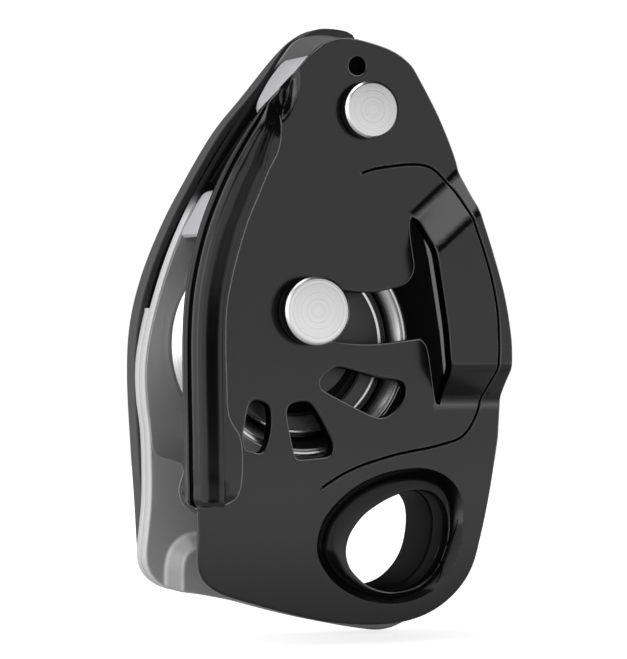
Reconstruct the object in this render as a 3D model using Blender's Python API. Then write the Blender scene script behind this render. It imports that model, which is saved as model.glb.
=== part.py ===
"""Cam-assisted belay device: two side plates, a rope wheel on a pivoting cam, and a folding release lever.

Lengths are in millimetres inside this file and become metres when a mesh is made.
X runs right, Y runs back from the moving plate to the release lever, and Z runs up.
The origin is the middle of the attachment hole, halfway between the two side plates.
"""

import math

import bmesh
import bpy
from mathutils import Vector
from mathutils.geometry import delaunay_2d_cdt

METRES_PER_MM = 0.001

# Clearances
RUNNING_FIT = 0.10
FACE_GAP = 0.30
PRESS_GAP = 0.05

# Depth of each layer, front to back
INNER_GAP = 18.0
PLATE_THICKNESS = 3.0
MOVING_INNER_Y = -INNER_GAP / 2
MOVING_FRONT_Y = MOVING_INNER_Y - PLATE_THICKNESS
FIXED_INNER_Y = INNER_GAP / 2
FIXED_BACK_Y = FIXED_INNER_Y + PLATE_THICKNESS
BACKING_THICKNESS = 2.4
BACKING_FRONT_Y = FIXED_BACK_Y + PRESS_GAP
BACKING_BACK_Y = BACKING_FRONT_Y + BACKING_THICKNESS
ARM_FRONT_Y = FIXED_BACK_Y + FACE_GAP
ARM_THICKNESS = 2.1
ARM_BACK_Y = ARM_FRONT_Y + ARM_THICKNESS
LEVER_FRONT_Y = max(BACKING_BACK_Y, ARM_BACK_Y) + FACE_GAP

# Places of the axes, as X and Z
CAM_AXIS = (-19.0, 42.0)
TOP_AXIS = (-8.0, 78.1)
LEVER_AXIS = (-31.5, 14.0)

# Ranges of the moving pieces, in degrees
CAM_LOCK_TURN = 55.0
ARM_TURN = 58.0
LEVER_TURN = 100.0

# Edges and strap of the side plates
PLATE_CHAMFER = 0.35
STRAP_RAISE = 7.2
STRAP_FOLD_POINT = (0.4, 60.3)
STRAP_FOLD_NORMAL = (0.655, -0.755)
STRAP_UPPER_RUN = 6.4
STRAP_LOWER_START = 26.2
STRAP_LOWER_RUN = 7.0
FOLD_ROUNDING = 0.25
STRAP_CUT_TOP = (0.65, 59.0)
STRAP_CUT_BOTTOM = (5.85, 25.6)
STRAP_LOW_LEFT = 6.8
STRAP_ROW_STEP = 2.2
UPPER_FOLD_ROWS = (0.0, 1.2, 3.2, 5.2, 6.4)
LOWER_FOLD_ROWS = (0.0, 1.4, 3.5, 5.6, 7.0)

# Attachment hole
DISH_DEPTH = 4.5
COLLAR_WALL = 2.0
COLLAR_MEET_Y = 0.0
BACKING_HOLE_MARGIN = 1.0
DISH_CURVE = 1.15
DISH_ROWS = (0.0, 0.12, 0.3, 0.6)
DISH_TOP = 20.0
DISH_LEFT = -18.5
COLLAR_ROW_INSET = 0.01

# A step in a plate is drawn as a steep wall this wide
WALL_SLOPE = 0.1

# Lip along the rope edge of the moving plate
LIP_FRONT = ((0.0, 1.4), (0.3, 2.6), (0.8, 3.4), (1.5, 4.1), (2.4, 4.5), (3.4, 4.3),
             (4.4, 3.6), (5.2, 2.7), (5.9, 1.9), (6.6, 1.55), (7.4, 1.5))
LIP_BACK = ((0.0, 3.6), (0.3, 2.3), (0.8, 1.4), (1.5, 0.7), (2.4, 0.2), (3.4, 0.0))
LIP_FADE_START = 68.0
LIP_FADE_END = 80.0
LIP_BOTTOM = 7.6
LIP_ROWS = (0.9, 1.9, 3.2, 4.8, 6.4)
LIP_AREA_OUTSIDE = ((-50.0, 20.0), (-50.0, 60.0), (-30.0, 90.0))
LIP_RIGHT = -16.0

# Rivets and axle
AXLE_SHANK_R = 3.0
AXLE_NECK_R = 4.0
AXLE_HEAD_R = 6.2
AXLE_HEAD_HEIGHT = 3.6
AXLE_HEAD_CHAMFER = 0.45
AXLE_TAIL_R = 4.4
AXLE_TAIL_HEIGHT = 1.3
TAIL_WASHER_R = 5.6
TAIL_WASHER_THICKNESS = 1.0
TOP_SHANK_R = 3.0
TOP_HEAD_R = 5.2
TOP_HEAD_HEIGHT = 2.4
TOP_TAIL_R = 4.6
TOP_TAIL_HEIGHT = 1.9
SLOT_CLEARANCE = 0.35
SLOT_UPPER_EXTRA = 0.6
SLOT_REACH = (20.0, 25.0)
KEEPER_HOLE = (-9.9, 86.0)
KEEPER_HOLE_R = 1.65

# Ball bearing between the cam and the wheel
BALL_COUNT = 12
BALL_R = 1.25
BALL_PITCH_R = 13.0
BALL_GAP = 0.06
RING_HEIGHT = 2.4
RING_LAND = 0.9
RING_HALF_WIDTH = 3.2
CAGE_WALL = 0.55
CAGE_HALF_WIDTH = 2.1
CAGE_POCKET_R = 1.45
CAGE_POCKET_SIDES = 8
COLLAR_RECESS = 0.1

# Wheel
WHEEL_BORE_R = BALL_PITCH_R + RING_HEIGHT
WHEEL_HUB_R = WHEEL_BORE_R + 1.3
WHEEL_HUB_CHAMFER = (0.2, 0.5)
WHEEL_HUB_Y = 5.3
WHEEL_FRONT_Y = -8.3
WHEEL_BACK_Y = 8.0
GROOVE_R = WHEEL_BORE_R + 1.2
GROOVE_FLANK = ((0.3, 2.2), (1.0, 4.1), (2.3, 6.0))
GROOVE_DEPTH = 3.4
WHEEL_R = GROOVE_R + GROOVE_DEPTH
RIM_WIDTH = 0.9
RIM_STEP = (0.15, 0.35)
RIM_CHAMFER = 0.25
RIM_SHOULDER = 0.8

# Cam
CAM_BOSS_R = BALL_PITCH_R - RING_HEIGHT
CAM_BOSS_BACK_Y = 4.2
CAM_HUB_R = 4.2
CAM_HUB_BACK_Y = 8.6
CAM_HUB_MARGIN = 0.2706
CAM_DISC_GAP = 0.25
CAM_DISC_R = WHEEL_BORE_R - CAM_DISC_GAP
CAM_DISC_FRONT_Y = -5.6
CAM_DISC_THICKNESS = 1.4
CAM_CHAMFER = 0.3
CAM_WINDOW_MARGIN = 0.35
CAM_WINDOW_R = (CAM_BOSS_R + CAM_WINDOW_MARGIN, BALL_PITCH_R)
CAM_WINDOW_ANGLES = (-165.0, -25.0)
RELEASE_PIN_R = 1.5
RELEASE_PIN_REACH = 8.5
RELEASE_PIN_ANGLE = -60.0
RELEASE_PIN_SINK = 0.4
RELEASE_PIN_SHORT = 0.1
ANCHOR_PIN_R = 1.0
ANCHOR_PIN_ANGLE = 200.0

# The wheel sits off the cam axis, so that the cam hub just stays inside the boss
WHEEL_OFFSET = CAM_BOSS_R - CAM_HUB_R - CAM_HUB_MARGIN
WHEEL_HEADING = math.radians(-84.3825)
WHEEL_AXIS = (
    CAM_AXIS[0] + WHEEL_OFFSET * math.cos(WHEEL_HEADING),
    CAM_AXIS[1] + WHEEL_OFFSET * math.sin(WHEEL_HEADING))

# Cam return spring
SPRING_WIRE_R = 0.45
SPRING_COIL_R = 5.75
SPRING_PITCH = 1.5
SPRING_WHOLE_TURNS = 1
SPRING_LEG_END_R = 9.7
SPRING_BEND_ANGLE = 9.0
SPRING_POINTS_PER_TURN = 10
SPRING_SIDES = 8
SPRING_LEG_START = 3.0
SPRING_BEND_REACH = 0.8
SPRING_BEND_SHARE = 0.4

# Release arm and lever
ARM_HUB_R = 12.5
ARM_END_R = 6.5
ARM_CHAMFER = 0.2
ARM_SLOT_SPARE = 2.0
LEVER_BUSH_R = 4.1
LEVER_RIVET_R = 3.0
LEVER_RIVET_HEAD_R = 5.2
LEVER_RIVET_FOOT_R = 4.6
LEVER_RIVET_SEAT = 1.0
LEVER_RIVET_SINK = 0.1
LEVER_RIVET_HEAD_HEIGHT = 1.2
LEVER_RIVET_HEAD_CHAMFER = (0.5, 0.4)
LEVER_THICKNESS = 6.6
LEVER_EDGE = 4.4
LEVER_CROWN_RUN = 3.4
LEVER_CROWN_ROW = 1.2
LEVER_CHAMFER = 0.3
LEVER_POCKET_DEPTH = 4.4
LEVER_STOP_REACH = 7.0
LEVER_STOP_R = 1.2
LEVER_STOP_ANGLE = 30.0
LEVER_STOP_DEPTH = 3.2
LEVER_STOP_SINK = 0.2
PIN_END_CHAMFER = 0.25

# How far loose mesh points keep from an edge
PLATE_KEEP_OFF = 0.6
LIP_KEEP_OFF = 0.25
PLATEAU_KEEP_OFF = 0.5

# Outlines as X and Z in millimetres, counter-clockwise seen from the front unless noted
MOVING_RIGHT = (
    (18.4, 25.8), (17.6, 30.5), (17.4, 37.0), (16.3, 45.0), (14.3, 53.5), (12.4, 61.5),
    (10.6, 69.2), (6.4, 77.1), (2.4, 84.0), (0.3, 86.9), (-3.5, 89.2), (-9.6, 90.8),
    (-13.4, 90.9), (-16.4, 89.9))
MOVING_LIP_EDGE = (
    (-19.0, 87.9), (-23.2, 83.2), (-29.2, 77.0), (-34.4, 69.2), (-37.9, 62.2),
    (-40.5, 55.2), (-42.5, 46.5), (-43.2, 38.6), (-43.2, 29.8), (-43.0, 19.3),
    (-42.9, 12.4), (-42.5, 9.7), (-41.4, 8.0))
MOVING_BOTTOM = (
    (-40.3, 6.6), (-40.2, 3.0), (-40.3, -1.0), (-39.8, -4.6), (-37.5, -7.2), (-32.4, -9.3),
    (-17.1, -13.4), (-5.5, -14.5), (2.4, -13.4), (8.4, -10.2), (12.6, -5.2), (14.8, 1.7),
    (16.6, 9.9), (18.1, 19.0))
LIP_FLANGE_EDGE = (
    (-23.8, 80.6), (-24.5, 77.6), (-24.7, 74.6), (-25.4, 70.4), (-27.3, 66.7), (-29.2, 62.3), (-31.1, 58.0),
    (-33.0, 52.2), (-34.4, 46.8), (-35.2, 42.1), (-35.4, 36.0), (-35.2, 29.8), (-35.0, 24.6),
    (-34.2, 22.2), (-32.9, 20.2), (-32.3, 17.4), (-32.3, 13.0), (-32.8, 10.0), (-34.1, 8.2),
    (-36.6, 7.3), (-41.0, 7.2), (-45.5, 7.2))
VOID_EDGE = (
    (-1.8, 46.3), (-0.4, 46.9), (0.7, 48.0), (1.3, 49.4), (1.4, 50.6), (1.1, 52.4), (0.7, 55.0),
    (0.5, 57.6), (0.8, 59.0), (1.5, 58.4), (2.1, 55.2), (2.9, 51.0), (4.0, 44.5), (4.9, 38.5),
    (5.3, 34.0), (5.8, 30.0), (6.5, 26.2), (6.4, 25.0),
    (5.7, 25.2), (5.3, 27.0), (4.7, 31.0), (4.2, 34.2), (3.6, 36.0), (2.5, 37.0))
WINDOWS = (
    ((-31.6, 18.4), (-31.2, 17.4), (-30.0, 17.1), (-28.9, 16.7), (-27.7, 17.2), (-26.8, 19.6),
     (-26.5, 22.0), (-26.7, 24.6), (-27.4, 25.5), (-28.6, 26.0), (-30.0, 26.0), (-30.8, 25.0),
     (-31.3, 22.6), (-31.7, 20.4)),
    ((-21.9, 16.2), (-21.0, 15.5), (-18.5, 15.6), (-15.6, 15.9), (-14.7, 16.8), (-14.7, 18.4),
     (-16.2, 21.4), (-17.9, 24.2), (-19.2, 25.6), (-20.6, 25.8), (-22.6, 25.4), (-23.4, 24.4),
     (-23.3, 22.4), (-22.6, 19.0)),
    ((-16.9, 28.2), (-15.2, 27.1), (-10.4, 24.7), (-6.6, 23.0), (-4.6, 22.8), (-3.1, 23.5),
     (-1.4, 25.2), (-0.4, 26.9), (-0.6, 28.6), (-1.7, 29.4), (-5.0, 29.9), (-8.4, 30.7),
     (-12.6, 31.8), (-14.2, 31.8), (-15.8, 30.9), (-17.0, 29.6)))
DISH_EDGE = (
    (11.0, 4.9), (10.7, 7.9), (9.3, 10.6), (6.6, 12.6), (2.9, 13.6), (-1.6, 13.4), (-6.0, 12.4),
    (-10.4, 10.4), (-13.9, 7.7), (-16.4, 4.7), (-17.6, 1.3), (-17.5, -2.0), (-15.4, -5.6),
    (-12.3, -8.2), (-8.0, -10.1), (-3.5, -10.8), (0.8, -10.4), (4.6, -8.9), (7.7, -6.3),
    (9.8, -2.4), (10.8, 1.5))
HOLE_EDGE = (
    (10.0, 1.6), (9.9, 4.7), (8.9, 7.1), (6.9, 8.8), (4.0, 9.3), (0.4, 8.7), (-3.2, 7.2),
    (-6.7, 4.9), (-9.2, 1.8), (-10.1, -1.2), (-9.6, -4.0), (-7.9, -6.2), (-5.3, -8.1),
    (-1.8, -9.1), (1.8, -8.9), (4.8, -7.7), (7.4, -5.3), (9.2, -2.2))
FIXED_EDGE = (
    (18.2, 14.0), (18.1, 26.0), (16.8, 38.0), (14.5, 52.0), (11.3, 64.0), (6.5, 76.5),
    (2.5, 84.0), (0.2, 89.4), (-2.4, 92.4), (-6.2, 93.4), (-10.6, 93.2), (-13.8, 92.0),
    (-16.2, 89.1), (-18.6, 85.6), (-22.2, 80.1), (-28.4, 70.7), (-33.3, 62.4), (-37.6, 53.2),
    (-40.7, 44.1), (-42.5, 36.6), (-43.1, 31.3), (-42.9, 25.9), (-42.2, 20.4), (-41.9, 14.0),
    (-41.9, 7.7), (-42.4, 2.2), (-42.8, -2.0), (-42.3, -5.0), (-40.5, -7.3), (-37.5, -8.9),
    (-33.0, -9.7), (-26.0, -11.2), (-15.0, -14.2), (-2.3, -16.9), (4.8, -17.6), (10.0, -16.3),
    (14.2, -12.0), (16.6, -5.0), (17.7, 4.0))
PLATEAU_FOOT = (
    (16.2, -20.5), (17.0, -8.0), (16.6, 3.0), (13.0, 12.0), (6.0, 16.0), (-4.0, 16.0), (-12.0, 12.0),
    (-17.5, 6.5), (-24.0, 2.8), (-33.3, 1.9), (-36.2, 1.1), (-38.4, -1.0), (-39.4, -4.2), (-39.5, -9.0),
    (-39.5, -20.5), (-14.0, -26.0))
PLATEAU_RISE = 2.5
PLATEAU_RUN = 2.3
PLATEAU_ROWS = (0.0, 0.8, 1.5, 2.3)
PLATEAU_TOP = 18.0
WEAR_EDGE = (
    (-29.2, 22.0), (-30.6, 31.0), (-30.4, 41.0), (-29.4, 49.0), (-31.0, 52.8), (-35.8, 53.4),
    (-39.4, 45.0), (-41.2, 36.6), (-41.9, 31.3), (-41.7, 25.9), (-41.0, 20.4), (-40.6, 16.4),
    (-39.6, 15.3), (-37.8, 14.8), (-36.1, 14.1), (-35.6, 12.9), (-36.0, 11.4), (-36.5, 9.6), (-36.2, 7.8),
    (-35.0, 6.0), (-32.4, 4.7), (-28.6, 5.2), (-26.6, 7.6), (-26.2, 12.0), (-27.2, 17.0))
WEAR_THICKNESS = 0.8
WEAR_SEAT_GAP = 0.1
WEAR_RIVETS = ((-33.9, 9.4), (-33.4, 47.6))
WEAR_RIVET_R = 1.2
WEAR_RIVET_HEAD_R = 2.0
WEAR_RIVET_HEAD_HEIGHT = 0.3
WEAR_CHAMFER = 0.1
BRAKE_PAD_EDGE = (
    (-34.8, 55.5), (-30.7, 57.5), (-28.2, 58.9), (-27.2, 60.6), (-27.4, 62.4), (-28.6, 63.6),
    (-30.0, 64.1), (-31.6, 63.7), (-32.6, 62.6), (-34.4, 59.4), (-36.0, 56.6), (-35.9, 55.7))
BRAKE_PAD_RIVETS = ((-33.6, 57.9), (-29.8, 61.2))
BRAKE_RIVET_R = 1.1
BRAKE_PAD_FRONT_Y = -8.3
REAR_HEAD_EXTRA_R = 0.95
REAR_HEAD_HEIGHT = 0.9
PIN_DEPTH = 9.0
SPACER_EDGE = (
    (3.2, 80.6), (2.2, 84.0), (-0.6, 88.0), (-2.6, 89.1), (-15.6, 89.1), (-16.9, 88.4), (-18.6, 85.3),
    (-21.5, 81.4), (-21.9, 80.2), (-21.6, 79.0), (-20.4, 78.2), (-16.5, 75.2), (-11.5, 72.4),
    (-6.5, 71.2), (-1.5, 72.2), (1.8, 75.0), (3.3, 78.0))
SPACER_PINS = ((-17.2, 80.6), (-1.4, 83.6))
SPACER_PIN_R = 1.3
BLOCK_BACK_GAP = 0.3
SLIP_WASHER_R = 10.3
SLIP_WASHER_THICKNESS = 0.8
LINER_OUTER = (
    (16.9, 18.0), (16.8, 26.0), (15.5, 38.0), (13.2, 52.0), (10.0, 64.0), (5.2, 70.0), (-8.0, 69.6),
    (-14.0, 71.2), (-19.4, 74.8), (-22.6, 77.2), (-27.2, 70.6), (-30.6, 65.6), (-29.6, 65.3),
    (-27.6, 64.6), (-26.0, 63.0))
LINER_WHEEL_CENTRE = (-20.5, 37.0)
LINER_WHEEL_R = 24.0
LINER_ARC = (100.0, -33.0)
LINER_THICKNESS = 0.75
LINER_CHAMFER = 0.15
BACKING_ARM_GAP = 0.54
BACKING_CLEAR_R = math.dist(CAM_AXIS, LEVER_AXIS) + ARM_END_R + BACKING_ARM_GAP
BACKING_TOP = 42.6
BACKING_STRIP_X = -39.3
BACKING_RIGHT_TOP = 9.0
BACKING_ARC = (-45.0, -122.0)
LEVER_EDGE_LOOP = (
    (-0.7, 94.9), (-6.2, 95.2), (-10.3, 93.4), (-14.3, 89.7), (-20.4, 82.4), (-26.4, 75.2),
    (-32.3, 65.6), (-36.6, 57.6), (-40.4, 48.4), (-42.6, 39.5), (-43.1, 30.0), (-42.5, 18.0),
    (-41.7, 7.0), (-41.1, -2.0), (-40.2, -4.6), (-38.2, -5.2), (-35.8, -3.2), (-32.4, -0.4),
    (-27.6, 2.2), (-23.2, 6.2), (-20.8, 11.6), (-21.0, 18.0), (-24.2, 26.0), (-26.8, 33.0),
    (-27.7, 42.0), (-26.5, 50.0), (-23.5, 59.0), (-19.0, 68.0), (-13.5, 76.4), (-7.0, 83.2),
    (-1.0, 88.0), (1.0, 91.0), (1.0, 93.4))
LEVER_POCKETS = (
    ((-12.0, 82.6), (-7.4, 87.0), (-4.0, 90.4), (-5.2, 92.2), (-8.6, 91.6), (-11.6, 89.0), (-14.4, 85.6)),
    ((-20.4, 69.6), (-14.0, 79.4), (-16.6, 83.0), (-21.4, 78.0), (-25.2, 73.0)),
    ((-25.8, 57.2), (-21.8, 66.6), (-26.8, 70.6), (-30.2, 65.0), (-33.2, 58.8)),
    ((-30.0, 42.0), (-28.8, 49.4), (-27.0, 54.2), (-34.4, 56.0), (-37.0, 50.0), (-39.2, 42.8)),
    ((-29.0, 32.4), (-29.8, 38.8), (-40.0, 39.6), (-40.8, 33.0), (-40.4, 28.0), (-32.0, 27.6)))

# How finely round and curved pieces are cut
SMALL_SEGMENTS = 14
MEDIUM_SEGMENTS = 24
LARGE_SEGMENTS = 40
DISH_SEGMENTS = 32
SMOOTH_ANGLE = 34.0
FINE_STEP = 2.2
PLATE_STEP = 3.0
COARSE_STEP = 3.6


def clear_scene():
    for thing in list(bpy.data.objects):
        bpy.data.objects.remove(thing, do_unlink=True)


def make_material(name, colour, metallic, roughness):
    material = bpy.data.materials.new(name)
    material.use_nodes = True
    shader = material.node_tree.nodes["Principled BSDF"]
    shader.inputs["Base Color"].default_value = (*colour, 1.0)
    shader.inputs["Metallic"].default_value = metallic
    shader.inputs["Roughness"].default_value = roughness
    return material


BLACK_METAL = ((0.018, 0.018, 0.02), 0.6, 0.32)
GREY_METAL = ((0.3, 0.31, 0.32), 0.9, 0.38)
STEEL = ((0.62, 0.62, 0.61), 1.0, 0.24)
DARK_STEEL = ((0.12, 0.12, 0.125), 0.9, 0.4)
BLACK_NYLON = ((0.02, 0.02, 0.021), 0.0, 0.5)


def finish_mesh(name, verts, faces, axis, look):
    """Make one object whose origin lies on the given axis, from millimetre corners."""
    origin = Vector((axis[0], 0.0, axis[1]))
    mesh = bpy.data.meshes.new(name)
    mesh.from_pydata([(Vector(v) - origin) * METRES_PER_MM for v in verts], [], faces)
    work = bmesh.new()
    work.from_mesh(mesh)
    bmesh.ops.recalc_face_normals(work, faces=work.faces)
    work.to_mesh(mesh)
    work.free()
    mesh.shade_smooth()
    mesh.set_sharp_from_angle(angle=math.radians(SMOOTH_ANGLE))
    mesh.materials.append(make_material(name + "_look", *look))
    thing = bpy.data.objects.new(name, mesh)
    thing.location = origin * METRES_PER_MM
    bpy.context.scene.collection.objects.link(thing)
    return thing


def polar(centre, radius, degrees):
    angle = math.radians(degrees)
    return (centre[0] + radius * math.cos(angle), centre[1] + radius * math.sin(angle))


def circle(centre, radius, count):
    return [polar(centre, radius, 360.0 * i / count) for i in range(count)]


def arc(centre, radius, start, stop, count):
    return [polar(centre, radius, start + (stop - start) * i / (count - 1)) for i in range(count)]


def arc_slot(centre, radius, half_width, start, stop, count):
    """Slot along an arc, counter-clockwise, with round ends."""
    low = polar(centre, radius, start)
    high = polar(centre, radius, stop)
    loop = arc(centre, radius + half_width, start, stop, count)
    loop += arc(high, half_width, stop, stop + 180.0, 7)[1:-1]
    loop += arc(centre, radius - half_width, stop, start, count)
    loop += arc(low, half_width, start + 180.0, start + 360.0, 7)[1:-1]
    return loop


def spline(points, step, closed=True):
    """Smooth curve through the points with corners about one step apart."""
    count = len(points)
    result = []
    spans = count if closed else count - 1
    for i in range(spans):
        if closed:
            a, b, c, d = (points[(i + k) % count] for k in (-1, 0, 1, 2))
        else:
            a, b, c, d = (points[min(max(i + k, 0), count - 1)] for k in (-1, 0, 1, 2))
        length = math.dist(b, c)
        pieces = max(1, round(length / step))
        near = math.sqrt(max(math.dist(a, b), 1e-6))
        mid = math.sqrt(max(length, 1e-6))
        far = math.sqrt(max(math.dist(c, d), 1e-6))
        tangent_b = [0.0, 0.0]
        tangent_c = [0.0, 0.0]
        for axis in (0, 1):
            chord = c[axis] - b[axis]
            before = (b[axis] - a[axis]) / near - (c[axis] - a[axis]) / (near + mid)
            after = (d[axis] - c[axis]) / far - (d[axis] - b[axis]) / (mid + far)
            tangent_b[axis] = chord + mid * before
            tangent_c[axis] = chord + mid * after
        for k in range(pieces):
            t = k / pieces
            h1 = 2 * t**3 - 3 * t**2 + 1
            h2 = t**3 - 2 * t**2 + t
            h3 = -2 * t**3 + 3 * t**2
            h4 = t**3 - t**2
            result.append(tuple(h1 * b[n] + h2 * tangent_b[n] + h3 * c[n] + h4 * tangent_c[n] for n in (0, 1)))
    if not closed:
        result.append(tuple(points[-1]))
    return result


def signed_area(loop):
    return 0.5 * sum(a[0] * b[1] - b[0] * a[1] for a, b in zip(loop, loop[1:] + loop[:1]))


def counter_clockwise(loop):
    return list(loop) if signed_area(loop) > 0 else list(reversed(loop))


def offset_loop(loop, distance):
    """Move a counter-clockwise loop inward by the distance, or outward when it is negative."""
    loop = counter_clockwise(loop)
    count = len(loop)
    result = []
    for i, point in enumerate(loop):
        before = loop[i - 1]
        after = loop[(i + 1) % count]
        one = Vector((point[0] - before[0], point[1] - before[1])).normalized()
        two = Vector((after[0] - point[0], after[1] - point[1])).normalized()
        normal = Vector((-(one.y + two.y), one.x + two.x)).normalized()
        reach = distance / max(0.5, normal.dot(Vector((-one.y, one.x))))
        result.append((point[0] + normal.x * reach, point[1] + normal.y * reach))
    return result


def inside(loop, x, z):
    hit = False
    for (ax, az), (bx, bz) in zip(loop, loop[1:] + loop[:1]):
        if (az > z) != (bz > z) and x < (bx - ax) * (z - az) / (bz - az) + ax:
            hit = not hit
    return hit


def distance_to(points, x, z, closed=False):
    """Distance to a chain of points, and the height of the nearest point on it."""
    ends = points[1:] + points[:1] if closed else points[1:]
    best = (1e9, 0.0)
    for (ax, az), (bx, bz) in zip(points, ends):
        dx = bx - ax
        dz = bz - az
        t = max(0.0, min(1.0, ((x - ax) * dx + (z - az) * dz) / (dx * dx + dz * dz)))
        gap = math.hypot(x - ax - t * dx, z - az - t * dz)
        if gap < best[0]:
            best = (gap, az + t * dz)
    return best


def table(pairs, value):
    """Value read from a short table of section points."""
    if value <= pairs[0][0]:
        return pairs[0][1]
    for (a, low), (b, high) in zip(pairs, pairs[1:]):
        if value <= b:
            return low + (high - low) * (value - a) / (b - a)
    return pairs[-1][1]


def eased_ramp(value, run):
    """Zero to one over the run, with both bends rounded."""
    t = max(0.0, min(1.0, value / run))
    q = FOLD_ROUNDING
    if t < q:
        return t * t / (2 * q * (1 - q))
    if t > 1 - q:
        return 1 - (1 - t) ** 2 / (2 * q * (1 - q))
    return (t - q / 2) / (1 - q)


class Sheet:
    """A plate whose front and back are heights over one flat outline."""

    def __init__(self, outline, front, back, holes=(), chamfer=PLATE_CHAMFER, bores=()):
        self.front = front
        self.back = back
        self.chamfer = chamfer
        self.outer = counter_clockwise(outline)
        self.holes = [counter_clockwise(hole) for hole in holes]
        self.points = []
        self.heights = []
        self.edges = []
        self.add_rim(self.outer, 1.0)
        for hole in self.holes:
            self.add_rim(hole, -1.0)
        for bore in bores:
            self.holes.append(counter_clockwise(bore))
            self.add_chain(self.holes[-1])

    def add_rim(self, loop, side):
        heights = [(self.front(x, z) + self.chamfer, self.back(x, z) - self.chamfer) for x, z in loop]
        self.add_chain(loop, True, heights)
        if self.chamfer > 0:
            self.add_chain(offset_loop(loop, side * self.chamfer), True)

    def add_chain(self, chain, closed=True, heights=None):
        start = len(self.points)
        for i, (x, z) in enumerate(chain):
            self.points.append((x, z))
            self.heights.append(heights[i] if heights else (self.front(x, z), self.back(x, z)))
        last = len(self.points)
        self.edges += [(i, i + 1) for i in range(start, last - 1)]
        if closed:
            self.edges.append((last - 1, start))

    def add_points(self, points, keep_off):
        rims = [self.outer] + self.holes
        for x, z in points:
            solid = inside(self.outer, x, z) and not any(inside(hole, x, z) for hole in self.holes)
            if solid and all(distance_to(rim, x, z, True)[0] > keep_off for rim in rims):
                self.points.append((x, z))
                self.heights.append((self.front(x, z), self.back(x, z)))

    def build(self, name, axis, look):
        result = delaunay_2d_cdt([Vector(p) for p in self.points], self.edges, [], 0, 1e-5)
        corners, _, triangles, sources = result[0], result[1], result[2], result[3]
        heights = []
        for corner, source in zip(corners, sources):
            heights.append(self.heights[source[0]] if source else (self.front(*corner), self.back(*corner)))
        kept = []
        for triangle in triangles:
            x = sum(corners[i].x for i in triangle) / len(triangle)
            z = sum(corners[i].y for i in triangle) / len(triangle)
            if inside(self.outer, x, z) and not any(inside(hole, x, z) for hole in self.holes):
                kept.append(tuple(triangle))
        count = len(corners)
        verts = [(c.x, h[0], c.y) for c, h in zip(corners, heights)]
        verts += [(c.x, h[1], c.y) for c, h in zip(corners, heights)]
        faces = list(kept)
        faces += [tuple(i + count for i in reversed(triangle)) for triangle in kept]
        sides = set()
        for triangle in kept:
            sides.update(zip(triangle, triangle[1:] + triangle[:1]))
        faces += [(b, a, a + count, b + count) for a, b in sides if (b, a) not in sides]
        used = sorted({i for face in faces for i in face})
        renumber = {old: new for new, old in enumerate(used)}
        verts = [verts[i] for i in used]
        faces = [tuple(renumber[i] for i in face) for face in faces]
        return finish_mesh(name, verts, faces, axis, look)


def flat(height):
    return lambda x, z: height


def prism(name, outline, front_y, back_y, axis, look, bores=(), chamfer=PLATE_CHAMFER):
    return Sheet(outline, flat(front_y), flat(back_y), (), chamfer, bores).build(name, axis, look)


def turned(name, profile, centre, axis, look, segments, closed=False):
    """Turn a profile of radius and depth about a line along Y."""
    verts = []
    rows = []
    for radius, depth in profile:
        if radius < 1e-6:
            rows.append([len(verts)])
            verts.append((centre[0], depth, centre[1]))
            continue
        rows.append(list(range(len(verts), len(verts) + segments)))
        verts += [(x, depth, z) for x, z in circle(centre, radius, segments)]
    faces = []
    pairs = list(zip(rows, rows[1:])) + ([(rows[-1], rows[0])] if closed else [])
    for low, high in pairs:
        for i in range(segments):
            j = (i + 1) % segments
            if len(low) == 1:
                faces.append((low[0], high[i], high[j]))
            elif len(high) == 1:
                faces.append((low[i], high[0], low[j]))
            else:
                faces.append((low[i], high[i], high[j], low[j]))
    return finish_mesh(name, verts, faces, axis, look)


def tube(name, path, radius, sides, axis, look):
    """Round wire along a path of corners."""
    path = [Vector(p) for p in path]
    verts = []
    side = Vector((0.0, 1.0, 0.0))
    for i, point in enumerate(path):
        ahead = path[min(i + 1, len(path) - 1)] - path[max(i - 1, 0)]
        ahead.normalize()
        side = (side - ahead * side.dot(ahead)).normalized()
        other = ahead.cross(side)
        for k in range(sides):
            turn = 2 * math.pi * k / sides
            verts.append(point + (side * math.cos(turn) + other * math.sin(turn)) * radius)
    faces = []
    for i in range(len(path) - 1):
        for k in range(sides):
            a = i * sides + k
            b = i * sides + (k + 1) % sides
            faces.append((a, b, b + sides, a + sides))
    faces.append(tuple(reversed(range(sides))))
    faces.append(tuple(range(len(verts) - sides, len(verts))))
    return finish_mesh(name, verts, faces, axis, look)


def strap_height(x, z):
    if z < STRAP_LOWER_START or x < strap_inner_x(z):
        return 0.0
    across = (x - STRAP_FOLD_POINT[0]) * STRAP_FOLD_NORMAL[0]
    across += (z - STRAP_FOLD_POINT[1]) * STRAP_FOLD_NORMAL[1]
    upper = eased_ramp(across, STRAP_UPPER_RUN)
    lower = eased_ramp(z - STRAP_LOWER_START, STRAP_LOWER_RUN)
    return STRAP_RAISE * min(upper, lower)


def strap_inner_x(z):
    """Middle of the cut between the strap and the rest of the plate."""
    share = (z - STRAP_CUT_TOP[1]) / (STRAP_CUT_BOTTOM[1] - STRAP_CUT_TOP[1])
    return STRAP_CUT_TOP[0] + share * (STRAP_CUT_BOTTOM[0] - STRAP_CUT_TOP[0])


def radial(loop, x, z):
    """Radius of a loop around the attachment hole in the direction of a point."""
    angle = math.atan2(z, x)
    for (ax, az), (bx, bz) in zip(loop, loop[1:] + loop[:1]):
        low = math.atan2(az, ax)
        span = (math.atan2(bz, bx) - low) % (2 * math.pi)
        if (angle - low) % (2 * math.pi) <= span:
            dx = math.cos(angle)
            dz = math.sin(angle)
            cross = dx * (bz - az) - dz * (bx - ax)
            return (ax * (bz - az) - az * (bx - ax)) / cross
    return 0.0


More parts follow.
